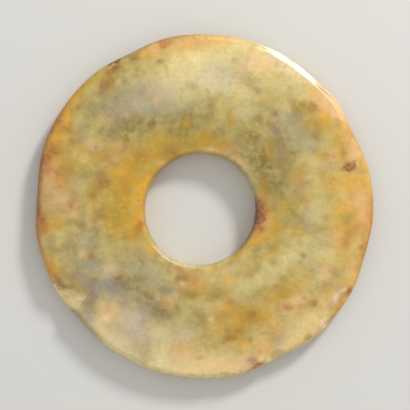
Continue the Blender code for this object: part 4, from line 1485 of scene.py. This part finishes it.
    def build(self) -> bpy.types.Object:
        """Work the stone through its steps, make the disc's object and dress it.

        Returns:
            The object, with its stains, its painted light and shade and its wear as attributes of its points.
        """
        clouds = CloudNoise(self.noise_seed)
        points, upper = self.body()
        points = self.roughen(self.grind_bevels(self.drill(points)), clouds)
        points, split = self.break_splinter(points, clouds)
        points, struck = self.strike_flakes(points, clouds)
        points, pitted = self.dig_pits(points, upper)
        points[..., 2] = np.maximum(points[..., 2], 0)
        covers = self.stain(points, upper, clouds)
        covers[Tint.CREAM] = 1 - (1 - covers[Tint.CREAM]) * (1 - self.wear.cream(split, struck))
        disc = self.to_object(points)
        self.store(disc, {f"stain_{tint.value}": cover for tint, cover in covers.items()})
        self.store(disc, {"dull": self.wear.dull(split + struck, covers[Tint.PEACH]), "pitted": pitted})
        disc.data.materials.append(self.finish.material())
        return disc

    def store(self, disc: bpy.types.Object, values: dict[str, Array]) -> None:
        """Keep named numbers, one a point, on the disc's mesh."""
        for name, numbers in values.items():
            layer = disc.data.attributes.new(name, "FLOAT", "POINT")
            layer.data.foreach_set("value", numbers.astype(np.float32).ravel())

    def to_object(self, points: Array) -> bpy.types.Object:
        """Close the grid both ways, put it into a mesh in metres and lay out its map.

        Args:
            points: The grid of points.

        Returns:
            The object, in the scene.
        """
        turns, steps = points.shape[:2]
        row, column = np.meshgrid(np.arange(turns), np.arange(steps), indexing="ij")
        after, below = (row + 1) % turns, (column + 1) % steps
        quads = np.stack([row * steps + column, row * steps + below, after * steps + below,
                          after * steps + column], axis=-1).reshape(-1, 4)
        mesh = bpy.data.meshes.new(self.name)
        mesh.from_pydata(points.reshape(-1, 3) * MM, [], quads)
        mesh.shade_smooth()
        layer = mesh.uv_layers.new(name="OFBake")
        layer.data.foreach_set("uv", self.flat_map(row, column).astype(np.float32).ravel())
        return put_in_scene(self.name, mesh)

    def flat_map(self, row: Array, column: Array) -> Array:
        """Lay the surface out as two flat rings that share the square's diagonal.

        One is the upper half, from the rim's line to the hole's waist, and the other is the lower.
        A point keeps its direction, and its distance from the ring's middle shrinks by the length of
        the section that leads to it from the rim's line.

        Args:
            row: Section of each quad's first corner.
            column: Step of each quad's first corner along the section.

        Returns:
            For each quad, the places of its four corners.
        """
        section = self.section
        rim_line = section.rim_steps // 2
        waist = section.rim_steps + section.underside_steps + section.seat_steps + section.edge_steps
        waist += section.wall_steps // 2 - rim_line
        loop = np.roll(self.loop, -rim_line, axis=0)
        length = np.linalg.norm(np.roll(loop, -1, axis=0) - loop, axis=-1)
        run = np.concatenate([[0.0], np.cumsum(length)])
        step = (column - rim_line) % len(loop)
        low = (step < waist)[..., None]
        corner = step[..., None] + np.array([0, 1, 1, 0])
        distance = np.where(low, run[corner], run[-1] - run[corner])
        turn = np.append(self.angle[:, 0], self.angle[0, 0] + 2 * pi)[row[..., None] + np.array([0, 0, 1, 1])]
        radius = self.map_radius * (1 - distance / self.outline.blank_radius)
        middle = np.where(low, 1 - self.map_middle, self.map_middle)
        side = np.where(low, -1, 1)
        return np.stack([middle + radius * np.cos(turn), middle + radius * np.sin(turn) * side], axis=-1)


# ---------------------------------------------------------------------------------------------
# Studio
# ---------------------------------------------------------------------------------------------

@dataclass(frozen=True)
class Studio:
    """A pale floor, one soft lamp low at the upper right, light from all around, and a camera overhead."""

    floor_half_size: float = 3.0
    lamp_heading: float = 54.5
    lamp_elevation: float = 30.0
    lamp_distance: float = 1.2
    lamp_size: float = 0.24
    lamp_power: float = 9.6
    surround: float = 0.65
    surround_colour: str = "#ffffff"
    lens: float = 120.0
    sensor: float = 36.0
    view_width: float = 157.0 * MM
    aim: tuple[float, float, float] = (0.2 * MM, 0.5 * MM, 4.5 * MM)  # place that the camera looks down on
    paper: PaperFinish = PaperFinish()

    def lay_floor(self) -> None:
        """Lay the floor just under the disc."""
        half = self.floor_half_size
        corners = [(-half, -half, 0), (half, -half, 0), (half, half, 0), (-half, half, 0)]
        mesh = bpy.data.meshes.new("studio_floor")
        mesh.from_pydata(corners, [], [(0, 1, 2, 3)])
        mesh.materials.append(self.paper.material())
        floor = put_in_scene("studio_floor", mesh)

    def hang_lamp(self) -> None:
        """Hang the soft lamp, turned to the disc."""
        turn, rise = radians(self.lamp_heading), radians(self.lamp_elevation)
        way = Vector((cos(turn) * cos(rise), sin(turn) * cos(rise), sin(rise)))
        data = bpy.data.lights.new("softbox", "AREA")
        data.shape = "DISK"
        data.size = self.lamp_size
        data.energy = self.lamp_power
        lamp = put_in_scene("softbox", data)
        lamp.location = way * self.lamp_distance
        lamp.rotation_euler = way.to_track_quat("Z", "Y").to_euler()

    def surround_light(self) -> None:
        """Light the disc evenly from all around."""
        world = bpy.data.worlds.new("studio")
        world.use_nodes = True
        fill_node(world.node_tree, world.node_tree.nodes["Background"], {},
                  {"Color": linear(self.surround_colour), "Strength": self.surround})
        bpy.context.scene.world = world

    def set_camera(self) -> None:
        """Put the camera straight above the disc, with +Y up in its view."""
        data = bpy.data.cameras.new("camera")
        data.lens = self.lens
        data.sensor_width = self.sensor
        camera = put_in_scene("camera", data)
        camera.location = Vector(self.aim) + Vector((0, 0, self.view_width * self.lens / self.sensor))
        bpy.context.scene.camera = camera

    def build(self) -> None:
        """Set the whole studio up."""
        self.lay_floor()
        self.hang_lamp()
        self.surround_light()
        self.set_camera()
        bpy.context.scene.view_settings.view_transform = "Standard"


def main() -> None:
    """Build the disc and the studio, and report them."""
    logging.basicConfig(level=logging.INFO)
    disc = BiDisc().build()
    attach(disc, "root")
    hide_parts("jade_bi_disc")
    LOG.info("%s: %d faces", disc.name, len(disc.data.polygons))
    Studio().build()
    LOG.info("studio: floor, lamp, surround and camera")


if __name__ == "__main__":
    main()
